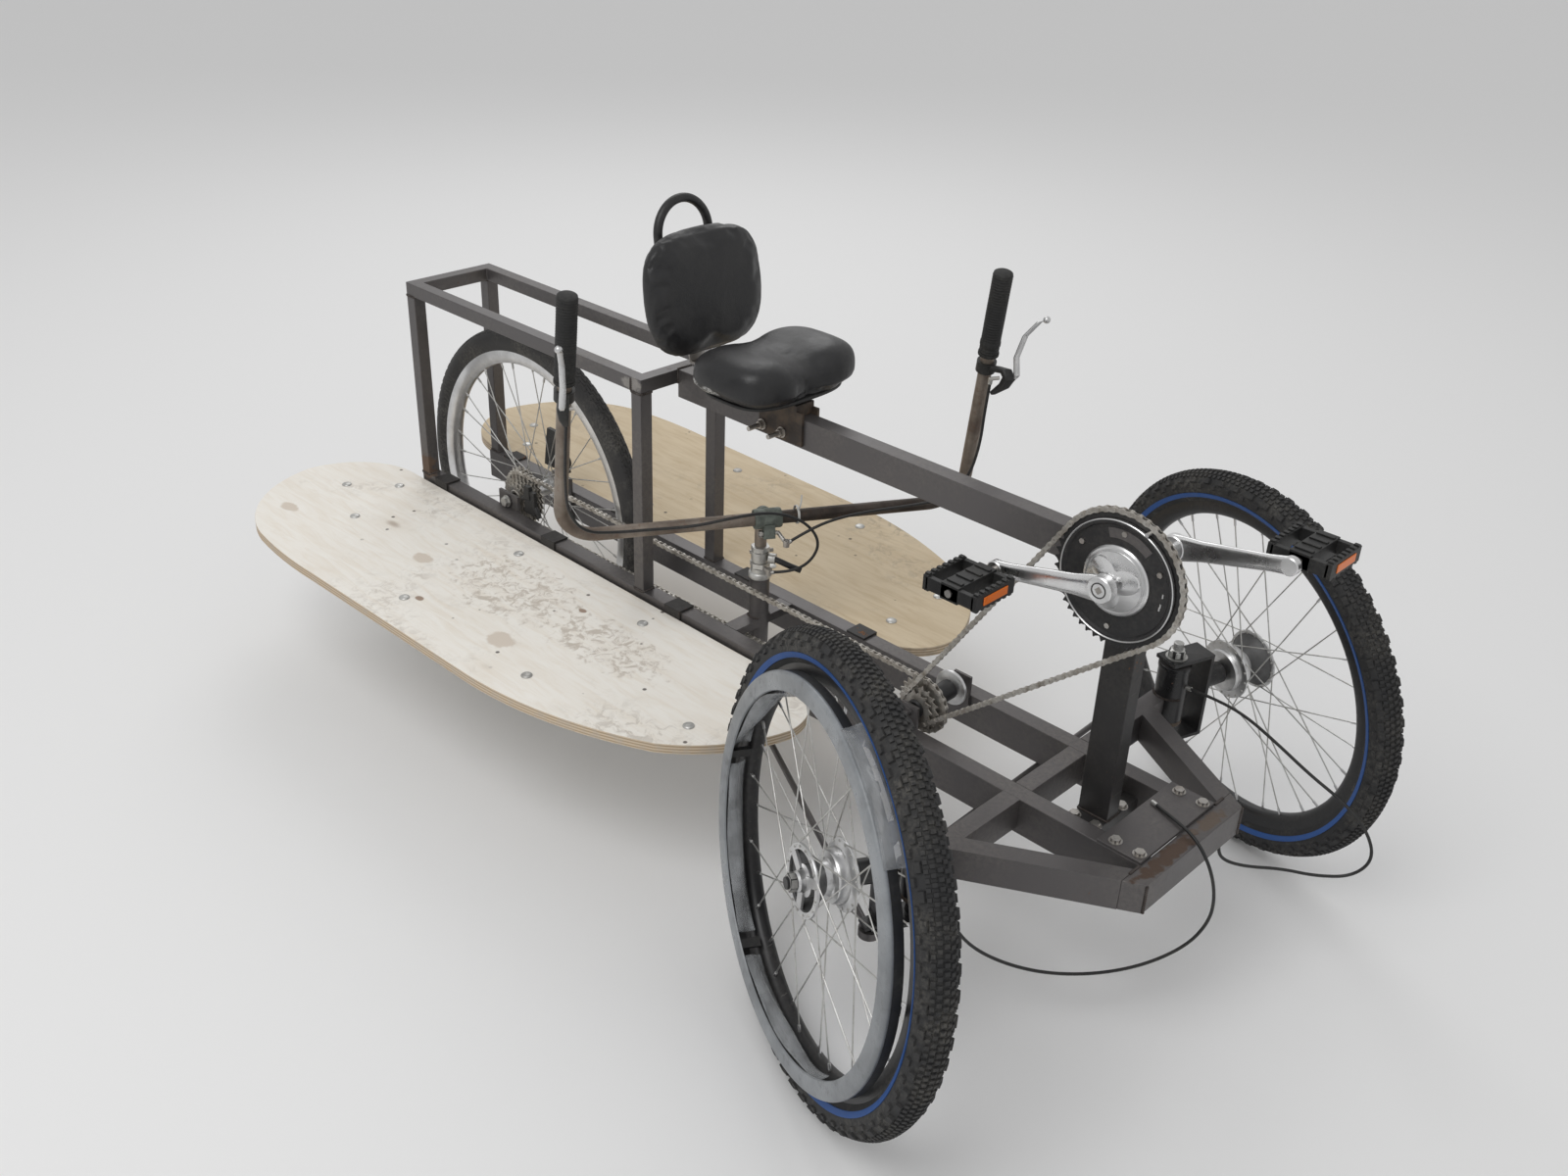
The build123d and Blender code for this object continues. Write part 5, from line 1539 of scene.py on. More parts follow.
@dataclass
class Crankset(SubAssembly):
    """Chainring with its guard and bright cover, two cranks and two pedals."""

    guard: Profile = (
        (56, -53), (56, -54.5), (78, -55), (80.5, -58), (83, -58.5), (85, -57), (85, -52),
        (80, -51.2),
    )
    web: Profile = ((8.2, -50), (8.2, -54.5), (58, -54.5), (78, -53.5), (78, -49.2), (56, -49.2))
    lip: Profile = ((83.8, -57.5), (85.2, -59), (86.4, -58), (86, -53), (83.8, -53))
    window: Profile = ((60, -54.6), (60, -55.3), (74, -56), (74, -54.6))
    dome: Profile = (
        (8.2, -54), (50, -54), (50, -56.5), (48, -59), (45, -59.7), (43, -59), (42, -61),
        (30, -64), (20, -66), (8.2, -66),
    )
    lobe_steps: Profile = ((1.02, -57.5), (1, -63.2), (0.965, -65), (0.5, -70), (0.3, -71))
    axle: Profile = ((0.1, -95), (7.8, -95), (7.8, 95), (0.1, 95))
    socket: Profile = ((0.1, -2), (11.2, -2), (11.2, 0.6), (10, 1), (9.2, -0.4), (0.1, -0.4))
    arm_offset: float = 88.0

    def __post_init__(self) -> None:
        """Find the axle and the pedals."""
        self.spindle = self.layout.across("crank_spin")
        self.pedals = {side: self.layout.across(f"pedal_{side.label}_spin") for side in Side}

    def build(self) -> None:
        """Make the ring, the cover, the cranks and the pedals."""
        self.chainring()
        self.cover()
        self.cranks()
        for side in Side:
            self.pedal(side)

    def chainring(self) -> None:
        """Make the toothed ring with its web, guard, bolts, bright lip, window and slots."""
        spindle, palette = self.spindle, self.palette
        ring = Skin("drive_ring").grid(toothed(spindle, 48, -50.0, 2.2, 76.0), True)
        ring.turned(spindle, self.guard, 96).turned(spindle, self.web, 96)
        heads = spindle.ring(69.0, np.radians([28.0, 148.0, 268.0, 88.0, 208.0]), -53.5)
        ring.rods(heads, heads - MM * 3.5 * spindle.axis, 4.2, 6, 1)
        ring.turned(spindle, self.lip, 110, 2)
        around = np.radians(np.linspace(52, 108, 30))
        edge = np.array(self.window)
        ring.grid(spindle.ring(edge[None, :, 0], around[:, None], edge[None, :, 1]), tint=3)
        slots = spindle.ring(70.0, np.radians([2.0, -14.0, 350.0]), -55.2)
        ring.rods(slots, slots + MM * 5.5 * spindle.up, 1.3, 8, 2)
        pin = spindle.ring(90.5, math.radians(66.0), -52.5)
        ring.rods(pin, pin - MM * 10.0 * spindle.axis, 3.0, 14, 2)
        finishes = [palette.black_metal, palette.bolt, palette.alloy, palette.frame]
        ring.build("crankset", finishes, ("chainring",), smooth=30)

    def cover(self) -> None:
        """Make the bright domed cover with three raised lobes.

        The lobes are a rounded triangle r(a) = 32 + 9.5 cos 3a, in rings that shrink outwards.
        """
        angle = np.arange(96) * 2 * np.pi / 96
        radius = 32.0 + 9.5 * np.cos(3 * (angle - 0.35))
        rings = [self.spindle.ring(scale * radius, angle, offset) for scale, offset in self.lobe_steps]
        skin = Skin("drive_cover").turned(self.spindle, self.dome, 96).grid(np.stack(rings))
        skin.build("crankset", [self.palette.crank], smooth=28)

    def cranks(self) -> None:
        """Make the axle, both arms and their end caps, as one piece."""
        skin = Skin("drive_cranks").turned(self.spindle, self.axle, 28)
        for side in Side:
            self.arm(skin, side)
        finishes = [self.palette.crank, self.palette.bolt, self.palette.black_metal]
        skin.build("crankset", finishes, ("cranks",), smooth=40)

    def arm(self, skin: Skin, side: Side) -> None:
        """Add an arm lofted from the axle's boss to the pedal's eye, with both bosses and the pedal's pin.

        Args:
            skin: what gathers the cranks.
            side: the arm's side.
        """
        spindle, eye = self.spindle, self.pedals[side].origin
        out = spindle.axis * side.value
        foot = spindle.origin + MM * self.arm_offset * out
        tip = eye + out * np.dot(foot - eye, out)
        arm = unit(tip - foot)
        share = np.linspace(0, 1, 26)
        wide = np.interp(share, [0, 0.08, 0.25, 0.85, 1.0], [19.0, 18.5, 15.0, 11.8, 13.0])
        deep = np.interp(share, [0, 0.15, 0.8, 1.0], [8.0, 6.8, 5.2, 6.2])
        centre = foot + (tip - foot) * share[:, None]
        right, up = wide[:, None] * np.cross(arm, out), deep[:, None] * out
        skin.grid(carried(rounded(2, 2, 0.75), centre, right, up))
        for place, radius, deep in ((foot, 19.0, 8.2), (tip, 13.0, 6.4)):
            edge = (
                (0.1, -deep), (radius - 1.5, -deep), (radius, 1.5 - deep), (radius, deep - 1.5),
                (radius - 1.5, deep), (0.1, deep),
            )
            skin.turned(Spindle.along(place, out, arm), edge, 40)
        cap = Spindle.along(spindle.origin + MM * 96.2 * out, out, arm)
        skin.turned(cap, self.socket, 32, 2)
        skin.rods(cap.origin - MM * out, cap.origin + MM * 0.6 * out, 5.8, 4, 1)
        skin.rods(tip + MM * 6.0 * out, eye + MM * 45.0 * out, 5.5, 16, 1)

    def pedal(self, side: Side) -> None:
        """Make a pedal: a moulded cage with toothed rims, a core and two reflectors.

        Args:
            side: the pedal's side.
        """
        spindle = self.pedals[side]
        frame = np.stack([spindle.ahead, spindle.axis * side.value, spindle.up])
        skin = Skin(f"pedal_body_{side.label}")
        both = (-1, 1)
        for size, centres, tint in (
            ((30, 84, 25), [(0, 0, 0)], 0),
            ((9, 84, 23), [(41 * sign, 0, 0) for sign in both], 0),
            ((82, 8, 20), [(0, 38 * sign, 0) for sign in both], 0),
            ((1.8, 52, 12.5), [(46 * sign, 0, 0) for sign in both], 1),
            ((8, 6.2, 3), [(41 * s, 12 * i - 36, 12.5 * t) for s in both for t in both for i in range(7)], 0),
            ((26, 7, 2.8), [(0, 20 * i - 30, 13.5 * t) for t in both for i in range(4)], 0),
        ):
            half = size[2] / 2
            places = spindle.origin + MM * np.array(centres, float) @ frame
            skin.blocks((*size[:2], half), frame, places, foot=half, tint=tint)
        name = f"pedal_{side.label}"
        skin.build(name, [self.palette.plastic, self.palette.reflector], (name,), bevel=1.2)


@dataclass
class Jackshaft(SubAssembly):
    """The middle shaft: three sprockets, two bright flanges and a dark shell."""

    sprockets: tuple[tuple[int, float, float], ...] = ((14, -50, 2), (22, -34, 2), (18, -44, 1.8))
    sleeve: Profile = (
        (5.5, -55.5), (12, -55.5), (15, -53), (16.5, -40), (16.5, 44), (12, 45.5), (5.5, 45.5),
    )
    flange: Profile = ((16, -6), (24, -5), (29, -2.2), (30, 0), (30, 2.2), (16, 4))
    flange_offsets: tuple[float, float] = (-18, 36)
    hole: float = 5.6

    def build(self) -> None:
        """Make the turning shell with its sprockets and flanges."""
        spindle, palette = self.layout.across("jackshaft_spin"), self.palette
        skin = Skin("jack_shell")
        for teeth, offset, thickness in self.sprockets:
            skin.grid(toothed(spindle, teeth, offset, thickness, self.hole), True)
        skin.turned(spindle, self.sleeve, 40, 1)
        for offset in self.flange_offsets:
            skin.turned(spindle, np.array(self.flange) + (0.0, offset), 56, 2)
        finishes = [palette.chain, palette.black_metal, palette.alloy]
        skin.build("jackshaft", finishes, ("jackshaft",), smooth=28)


# Handlebar


@dataclass
class Bars(SubAssembly):
    """The handlebar with its column, in its own frame: x ahead of the column, y left, z up, as parked."""

    turn: float = math.radians(-30)
    half: float = 343
    reach: float = 36
    low: float = 517
    top: float = 940
    bend: float = 60
    radius: float = 11.1
    lever_drop: float = 150

    def __post_init__(self) -> None:
        """Find the column and the turned directions."""
        self.ahead = np.array((math.cos(self.turn), math.sin(self.turn), 0.0))
        self.left = np.cross(UP, self.ahead)
        self.frame = np.stack([self.ahead, self.left, UP])
        self.column = self.layout.at(self.layout.column_x, 0, 0)

    def place(self, points: np.ndarray) -> np.ndarray:
        """Points of the bar's frame in metres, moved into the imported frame."""
        return np.array(points, float) @ self.frame + self.column

    def path(self, places: list[Point]) -> np.ndarray:
        """Places of the bar's frame in millimetres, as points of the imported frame."""
        return self.place(MM * np.array(places, float))

    def at(self, x: float, y: float, z: float) -> np.ndarray:
        """One place of the bar's frame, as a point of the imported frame."""
        return self.path((x, y, z))

    def upright(self, side: Side) -> tuple[np.ndarray, np.ndarray]:
        """Find an upright, which leans ahead and a little inwards.

        Args:
            side: the upright's side.

        Returns:
            Its top and its foot.
        """
        rise = self.top - self.low
        top = self.at(self.reach + 0.24 * rise, side.value * (self.half - 0.03 * rise), self.top)
        return top, self.at(self.reach, side.value * self.half, self.low)

    def build(self) -> None:
        """Make the bar, grips, levers, stem and tie."""
        self.tube()
        self.grips()
        for side in Side:
            self.lever(side)
        self.stem()
        self.tie()

    def tube(self) -> None:
        """Make the bar: bare steel, but for the dark level half left of the stem."""
        corners = [*self.upright(Side.RIGHT), *self.upright(Side.LEFT)[::-1]]
        route = filleted(np.array(corners), self.bend, 14)
        across = (route - self.column) @ self.left
        middle = self.at(self.reach, 0, self.low)
        level = route[:, 2] < middle[2] + 0.03
        right, left = route[across < -0.01], across > 0.01
        dark = np.concatenate([[middle], route[left & level]])
        rise = np.concatenate([dark[-1:], route[left & ~level]])
        skin = Skin("bar_tube")
        for run, tint in ((np.concatenate([right, [middle]]), 0), (rise, 0), (dark, 1)):
            skin.grid(tube(dense(run, 20), self.radius, 24), tint=tint)
        skin.build("handlebar", [self.palette.raw, self.palette.dark_bar], ("handlebar",), smooth=50)

    def grips(self) -> None:
        """Make the ribbed rubber grips with their end caps."""
        along = np.linspace(-5, 133, 93)
        ribs = 15.4 + 0.5 * np.sin(along * 2 * np.pi / 4.6)
        ribs[(along > 113) & (along < 120)] = 16.5
        cap, low = [(0.1, -8.5), (13, -8.5), (15, -7.2)], [(16.8, 133.5), (16.8, 137.5), (11.2, 138.5)]
        profile = np.concatenate([cap, np.stack([ribs, along], 1), low])
        skin = Skin("bar_grips")
        for side in Side:
            top, foot = self.upright(side)
            skin.turned(Spindle.along(top, foot - top, self.ahead), profile, 40)
        skin.build("handlebar", [self.palette.grip], ("grips",), smooth=40)

    def lever(self, side: Side) -> None:
        """Make a brake lever: clamp band, dark body, bright bowed blade with a ball and a pivot bolt.

        Args:
            side: the lever's side; the far one flares more.
        """
        top, foot = self.upright(side)
        down = unit(foot - top)
        base = top + MM * self.lever_drop * down
        ahead = unit(self.ahead - down * np.dot(self.ahead, down))
        across = np.cross(down, ahead)
        frame = np.stack([ahead, down, self.left * side.value * (0.20 if side is Side.RIGHT else 0.72)])
        skin = Skin(f"bar_lever_{side.label}")
        skin.turned(Spindle.along(base, down, ahead), ((11.2, 0), (15.8, 0), (15.8, 18), (11.2, 18)), 32)

        spine = [(10, 7, 0), (20, 4, 14), (29, 3, 30), (35, 12, 36), (35, 26, 28), (30, 42, 8)]
        spine = base + MM * np.array(spine) @ frame
        size = np.array([0.9, 1.1, 1.35, 1.45, 1.25, 0.75])
        run = unit(np.gradient(spine, axis=0))
        skin.grid(carried(rounded(12.5, 13.5, 3.5), spine, across, np.cross(run, across), size))
        pivot = base + MM * np.array((36, 10, 0)) @ frame
        skin.rods(pivot - MM * 8.5 * across, pivot + MM * 8.5 * across, 3, 12, 2)

        blade = [(37, 20, 40), (43, 4, 48), (38, -28, 42), (36, -66, 54), (42, -94, 76), (47, -100, 88)]
        blade = filleted(base + MM * np.array(blade) @ frame, 10, 6)
        run = unit(np.gradient(blade, axis=0))
        wide = np.interp(np.linspace(0, 1, len(blade)), [0, 0.2, 0.8, 1], [0.8, 1.2, 1.0, 0.75])
        skin.grid(carried(rounded(8.5, 4.6, 1.8), blade, across, np.cross(run, across), wide), tint=1)
        turn = np.linspace(0.01, np.pi - 0.01, 12)
        ball = 5.8 * np.stack([np.sin(turn), -np.cos(turn)], 1)
        skin.turned(Spindle.along(blade[-1], self.left, UP), ball, 20, 1)
        finishes = [self.palette.plastic, self.palette.alloy, self.palette.bolt]
        skin.build("handlebar", finishes, ("brake_levers",) if side is Side.RIGHT else (), smooth=40)

    def stem(self) -> None:
        """Make the column's visible parts, the bar clamp, the quick-release lever and the pitman arm."""
        skin = Skin("bar_stem")
        column = Spindle.along(self.column, UP, self.ahead)
        quill = ((0.1, 229), (12.7, 229), (12.7, 390), (10.3, 392), (10.3, 505), (0.1, 505))
        nut = (
            (12.8, 388.4), (18, 388.4), (19.5, 390), (19.5, 398), (18, 400), (16, 401), (16, 408),
            (12.8, 408),
        )
        collar = ((10.4, 419.5), (15, 419.5), (15.5, 423), (15.5, 435), (15, 438), (10.4, 438))
        skin.turned(column, quill, 36).turned(column, nut, 36, 1).turned(column, collar, 36, 1)
        for low, high, wide in ((408.2, 419.5, 17.8), (438, 449, 16.5)):
            skin.turned(column, ((10.4, low), (wide, low + 1), (wide, high - 1), (10.4, high)), 6, 1)
        self.clamp(skin)
        self.release(skin)
        # stops that hold the two cables' far ends, on the clamp's bolt and on the collar
        for ear, hold, radius in (((47, 16, 495), (69, 25, 484), 3.5), ((8, 3, 410), (26, 9, 410), 4.2)):
            ends = self.path([ear, hold])
            skin.grid(tube(dense(ends, 4), radius, 12), tint=3)
            skin.rods(ends[1] - MM * 6 * UP, ends[1] + MM * 6 * UP, 5.2, 14, 3)
        skin.blocks((28, 64, 6), self.frame, self.at(0, -25, 229), tint=4)
        skin.rods(self.at(0, -50, 210), self.at(0, -50, 230), 4, 14, 3)
        palette = self.palette
        finishes = [palette.raw, palette.zinc, palette.green, palette.bolt, palette.black_metal]
        skin.build("handlebar", finishes, ("stem",), smooth=38)

    def clamp(self, skin: Skin) -> None:
        """Add the clamp round the bar, with its neck, its ears and its bolt.

        Args:
            skin: what gathers the stem.
        """
        x, z = self.reach + 12, self.low - 22
        band = ((11.2, -23), (16, -23), (17, -20), (17, 20), (16, 23), (11.2, 23))
        skin.turned(Spindle.along(self.at(self.reach, 0, self.low), self.left, UP), band, 36, 2)
        skin.bar(self.path([(0, 0, 486), (0, 0, 503), (7, 0, 513), (22, 0, 517)]), 12, 12.8, 24, 10, 6, 2)
        skin.blocks((16, 20, 12), self.frame, self.at(x, 0, z + 5), 0.9, 12, 2)
        skin.rods(self.at(x, -15, z), self.at(x, 15, z), 3.6, 12, 3)
        skin.rods(self.at(x, -17, z), self.at(x, -12, z), 6.2, 6, 3)

    def release(self, skin: Skin) -> None:
        """Add the quick-release lever on the column, with its boss and its pin.

        Args:
            skin: what gathers the stem.
        """
        starts, ends = [(-16, -14, 429), (-16, 14, 429)], [(-16, 15, 429), (-16, 27, 429)]
        skin.rods(self.path(starts), self.path(ends), 3.6, 12, 3)
        lever = self.path([(16, 16, 430), (24, 26, 428), (32, 44, 420), (36, 62, 412)])
        skin.bar(lever, 20, 5.2, 16, 6, tint=4)
        skin.rods(self.at(14, 12, 430), self.at(20, 22, 430), 9, 16, 1)

    def tie(self) -> None:
        """Make the cable tie round bar and cable, with its loose tail."""
        place = Spindle.along(self.at(self.reach + 3, 50, self.low + 1), self.left, UP)
        turn = np.linspace(0, 2 * np.pi, 40)[:-1]
        loop = place.ring(15 + 2.8 * np.cos(turn), turn, 0)
        skin = Skin("bar_zip_tie")
        skin.grid(carried(rounded(4, 1.4, 0.5, 2), loop, place.axis, unit(loop - place.origin)), True)
        x, z = self.reach, self.low
        tail = self.path([(x + 12, 50, z + 14), (x + 18, 52, z + 30), (x + 14, 54, z + 44)])
        skin.bar(tail, 20, 1.3, 10, 6)
        skin.build("handlebar", [self.palette.zip_tie])


# Cables


@dataclass(frozen=True)
class Cable:
    """A cable's real size and its route's points, in metres in the frame of what carries it."""

    node: str
    body: str
    length: float
    route: tuple[Point, ...]
    diameter: float = 0.005
    ferrule: float = 3.6

    def build(self, places: np.ndarray, palette: Palette) -> None:
        """Args:
            places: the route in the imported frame's metres, array (n, 3).
            palette: the finishes.
        """
        curve = bpy.data.curves.new(f"{self.node}_line", "CURVE")
        curve.dimensions = "3D"
        curve.resolution_u = 10
        curve.bevel_depth = self.diameter / 2
        curve.bevel_resolution = 3
        curve.use_fill_caps = True
        spline = curve.splines.new("NURBS")
        spline.points.add(len(places) - 1)
        spline.points.foreach_set("co", np.c_[places, np.ones(len(places))].ravel())
        spline.order_u = 3
        spline.use_endpoint_u = True
        curve.materials.append(palette.plastic)
        piece = added(f"{self.node}_line", curve)
        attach(piece, self.body)
        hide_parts(self.node)
        ferrules = Skin(f"{self.node}_ferrule")
        for end, inner, length in ((places[0], places[1], 11), (places[-1], places[-2], 10)):
            way = unit(inner - end)
            ferrules.rods(end + MM * 0.5 * way, end + MM * length * way, self.ferrule, 14)
        cap = ferrules.build(self.body, [palette.zinc])
        tuple(places[0])


BAR_CABLES = (
    Cable("cable_right", "handlebar", 0.78, (
        (0.1234, -0.3353, 0.7728), (0.1094, -0.3371, 0.7145), (0.1002, -0.339, 0.6513), (0.08, -0.335, 0.583),
        (0.070, -0.309, 0.539), (0.0605, -0.257, 0.529), (0.0545, -0.193, 0.525), (0.0595, -0.128, 0.526),
        (0.0585, -0.063, 0.535), (0.0565, 0.002, 0.539), (0.0605, 0.057, 0.519), (0.0665, 0.085, 0.481),
        (0.0605, 0.073, 0.441), (0.0485, 0.041, 0.417), (0.026, 0.009, 0.409))),
    Cable("cable_left", "handlebar", 0.535, (
        (0.1234, 0.3353, 0.7728), (0.1089, 0.3371, 0.7126), (0.1005, 0.3391, 0.6484), (0.082, 0.333, 0.581),
        (0.070, 0.301, 0.539), (0.0585, 0.245, 0.527), (0.0565, 0.181, 0.523), (0.0605, 0.121, 0.519),
        (0.0705, 0.067, 0.509), (0.0685, 0.025, 0.483))),
)
FRAME_CABLES = (
    Cable("brake_line_right", "frame", 0.811, (
        (0.144, 0.030, 0.3215), (0.196, 0.014, 0.3235), (0.238, -0.004, 0.3245), (0.266, -0.002, 0.2875),
        (0.274, 0.012, 0.2335), (0.268, 0.024, 0.1795), (0.250, 0.010, 0.1315), (0.214, -0.036, 0.0995),
        (0.172, -0.092, 0.0895), (0.130, -0.152, 0.0995), (0.094, -0.208, 0.1275), (0.066, -0.262, 0.1735),
        (0.050, -0.296, 0.2255), (0.046, -0.310, 0.2755), (0.026, -0.315, 0.3035))),
    Cable("brake_line_left", "frame", 0.715, (
        (0.222, 0.106, 0.264), (0.222, 0.107, 0.236), (0.230, 0.120, 0.214), (0.252, 0.152, 0.198),
        (0.284, 0.204, 0.184), (0.322, 0.244, 0.170), (0.364, 0.276, 0.176), (0.386, 0.282, 0.218),
        (0.366, 0.280, 0.262), (0.322, 0.280, 0.290), (0.266, 0.280, 0.308), (0.204, 0.284, 0.332),
        (0.142, 0.296, 0.346), (0.084, 0.308, 0.344), (0.026, 0.315, 0.336))),
)


def lay_cables(layout: Layout, palette: Palette, bars: Bars) -> None:
    """Lay the four cables, before any other piece is made.

    Args:
        layout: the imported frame.
        palette: the finishes.
        bars: the handlebar, which carries two of them.
    """
    for cable in BAR_CABLES:
        cable.build(bars.place(cable.route), palette)
    for cable in FRAME_CABLES:
        cable.build(np.array(cable.route) + layout.shift, palette)


# Frame


@dataclass(frozen=True)
class Bead:
    """A weld bead: a round run along a line, its radius r (1 + k sin 2 pi s / pitch)."""

    radius: float = 2.2
    ripple: float = 0.22
    pitch: float = 3.6
    step: float = 0.9

    def lay(self, skin: Skin, corners: np.ndarray) -> None:
        """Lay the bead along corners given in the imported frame's metres."""
        path = dense(corners, self.step)
        along = np.arange(len(path)) * self.step
        skin.grid(tube(path, self.radius * (1 + self.ripple * np.sin(2 * np.pi * along / self.pitch)), 8))

    def loop(self, skin: Skin, corners: np.ndarray) -> None:
        """Lay the bead round a closed loop, starting and ending in the middle of a side."""
        middle = (corners[:1] + corners[-1:]) / 2
        self.lay(skin, filleted(np.concatenate([middle, corners, middle]), 2, 3))


@dataclass
class FrameDetails(SubAssembly):
    """The welded frame: rounded tubes, weld beads, bolts, housings, rear axle and the boards."""

    edges: tuple[tuple[str, str, float], ...] = (
        ("rails", "frame", 1.6), ("cross_tubes", "frame", 1.4), ("front_arms", "frame", 1.2),
        ("front_plate", "frame", 0.6), ("front_post", "post", 1.6), ("crank_axle_shell", "frame", 0.6),
        ("boom", "frame", 1.8), ("rear_cage", "frame", 1.6), ("head_tube", "frame", 0.6),
        ("rear_axle_plates", "frame", 0.5), ("jackshaft_axle", "frame", 0.4), ("board_straps", "strap", 0.6),
        ("seat_clamp", "rusty", 0.7), ("seat_strip", "bolt", 0.5),
    )
    right_bolts: Profile = (
        (-1580, 235), (-1505, 160), (-1443, 300), (-1105, 160), (-1105, 408), (-755, 158), (-755, 405),
        (-470, 310),
    )
    left_bolts: Profile = (
        (-470, 170), (-470, 300), (-755, 158), (-755, 405), (-1105, 160), (-1105, 408), (-1443, 300),
        (-1505, 160), (-1580, 235),
    )
    kingpin_y: float = 315
    housing_rim: Profile = (
        (24.9, 363.2), (26.2, 364), (26.6, 365.5), (26.6, 370.2), (26, 371.6), (24.9, 371.9),
    )
    housing_foot: Profile = ((24.9, 263), (25.9, 263.6), (25.9, 269.4), (24.9, 270))
    housing_sleeve: Profile = ((25, 270), (25.4, 270.2), (25.4, 363.6), (25, 363.8))
    kingpin_nut: Profile = ((12, 1.6), (14.3, 3), (14.3, 12.8), (12, 14.3), (0.1, 14.3), (0.1, 1.6))
    axle_cap: Profile = ((0.1, 52), (11.2, 52.4), (13.2, 51), (13.2, 43.2), (0.1, 43.2))

    def build(self) -> None:
        """Make every part of the frame."""
        for node, finish, width in self.edges:
            self.soften(node, "frame", [getattr(self.palette, finish)], width)
        # the boards' left half takes the darker plywood copy, which is painted shade
        self.soften("boards", "frame", [self.palette.plywood, self.palette.plywood_left], 1.2)
        self.welds()
        self.board_bolts()
        self.plate_bolts()
        self.housings()
        for side in Side:
            self.kingpin(side)
        self.rear_axle()
        self.changer()

    def soften(self, node: str, body: str, finishes: Finishes, width: float) -> None:
        """Copy a CAD node, merge its triangles into flat faces and round its edges with a live bevel.

        Args:
            node: the CAD node to stand for.
            body: the body that carries it.
            finishes: its material, or one for the right half and one for the left.
            width: the bevel's width.
        """
        mesh = self.layout.nodes[node].data.copy()
        mesh.name = f"{node}_dressed"
        work = bmesh.new()
        work.from_mesh(mesh)
        bmesh.ops.remove_doubles(work, verts=work.verts, dist=1e-5)
        bmesh.ops.dissolve_limit(work, angle_limit=math.radians(0.6), verts=work.verts, edges=work.edges)
        bmesh.ops.recalc_face_normals(work, faces=work.faces)
        work.to_mesh(mesh)
        work.free()
        mesh.materials.clear()
        shaded(mesh, finishes, 32)
        centres = np.empty(len(mesh.polygons) * 3, np.float32)
        mesh.polygons.foreach_get("center", centres)
        left = (centres[1::3] > self.layout.shift[1]) & (len(finishes) > 1)
        mesh.polygons.foreach_set("material_index", left.astype(np.int32))
        piece = added(mesh.name, mesh)
        bevelled(piece, width)
        declared(piece, body, (node,))

    def square(self, x: float, low_y: float, high_y: float, z: float, length: float) -> np.ndarray:
        """Four corners of a level rectangle, from x on and from low_y to high_y at height z."""
        end = x + length
        return self.layout.path([(x, low_y, z), (end, low_y, z), (end, high_y, z), (x, high_y, z)])

    def welds(self) -> None:
        """Lay the beads that join the tubes."""
        at, bead, skin = self.layout.path, Bead(), Skin("weld_beads")
        for x in (-1513, -847):
            for low, high in ((-98, -73), (73, 98)):
                for z in (314.4, 687.6):
                    bead.loop(skin, self.square(x, low, high, z, 25))
        for z in (662.4, 284.6):
            bead.loop(skin, self.square(53, -15, 15, z, 50))
        bead.lay(skin, at([(-821.6, -15, 688), (-821.6, -15, 713), (-821.6, 15, 713), (-821.6, 15, 688)]))
        for side in (-1, 1):
            bead.lay(skin, at([(-847, side * 98, 690), (-847, side * 98, 711)]))
            bead.lay(skin, at([(207, side * 100, 314), (207, side * 124, 314)]))
            bead.lay(skin, at([(237, side * 126, 266), (237, side * 126, 312)]))
            # arcs round the kingpin's housing and round the column
            for x, y, radius, start, end, steps in (
                (0, self.kingpin_y, 25.3, 200, 340, 60), (self.layout.column_x, 0, 17.8, 40, 140, 40),
            ):
                turn = np.radians(np.linspace(start, end, steps))
                across = side * (y + radius * np.sin(turn))
                bead.lay(skin, at(np.stack([x + radius * np.cos(turn), across, np.full(steps, 314.5)], 1)))
        skin.build("frame", [self.palette.weld], smooth=60)

    def board_bolts(self) -> None:
        """Make the boards' round-headed bolts with nuts below."""
        places = [(x, -y) for x, y in self.right_bolts] + list(self.left_bolts)
        turn = np.linspace(0.02, np.pi / 2, 8)
        dome = np.stack([9.8 * np.sin(turn), 4.2 * np.cos(turn)], 1)
        dome = np.concatenate([dome, [(9.8, -0.4), (0.1, -0.4)]])
        skin = Skin("board_bolts")
        for x, y in places:
            skin.turned(Spindle.along(self.layout.at(x, y, 302.1), UP), dome, 22)
        foot = self.layout.path([(x, y, 284) for x, y in places])
        skin.rods(foot, foot - MM * 15.5 * UP, 3, 10).rods(foot - MM * 4.6 * UP, foot - MM * 10 * UP, 6.2, 6)
        skin.build("frame", [self.palette.zinc], smooth=45)

    def plate_bolts(self) -> None:
        """Make the hexagon heads with washers on the front plate and on the post's foot."""
        skin = Skin("plate_bolts")
        for xs, ys, z, gap, washer, top, wide in (
            ((157, 196), (-83, 83), 319, 0.1, 1.3, 5.6, 7.7), ((60, 96), (-34, 34), 284, 0, 1.4, 6.2, 7.5),
        ):
            foot = self.layout.path([(x, y, z) for x in xs for y in ys])
            middle = foot + MM * washer * UP
            skin.rods(foot + MM * gap * UP, middle, 10, 24).rods(middle, foot + MM * top * UP, wide, 6)
        skin.build("frame", [self.palette.bolt], smooth=40)

    def housings(self) -> None:
        """Make the turned rims, feet and sleeves of the kingpin housings."""
        skin = Skin("housing_rims")
        for side in Side:
            spindle = Spindle.along(self.layout.at(0, side.value * self.kingpin_y, 0), UP)
            skin.turned(spindle, self.housing_rim, 48).turned(spindle, self.housing_foot, 48, 1)
            skin.turned(spindle, self.housing_sleeve, 64, 2)
        skin.build("frame", [self.palette.knuckle, self.palette.rusty, self.palette.knuckle], smooth=40)

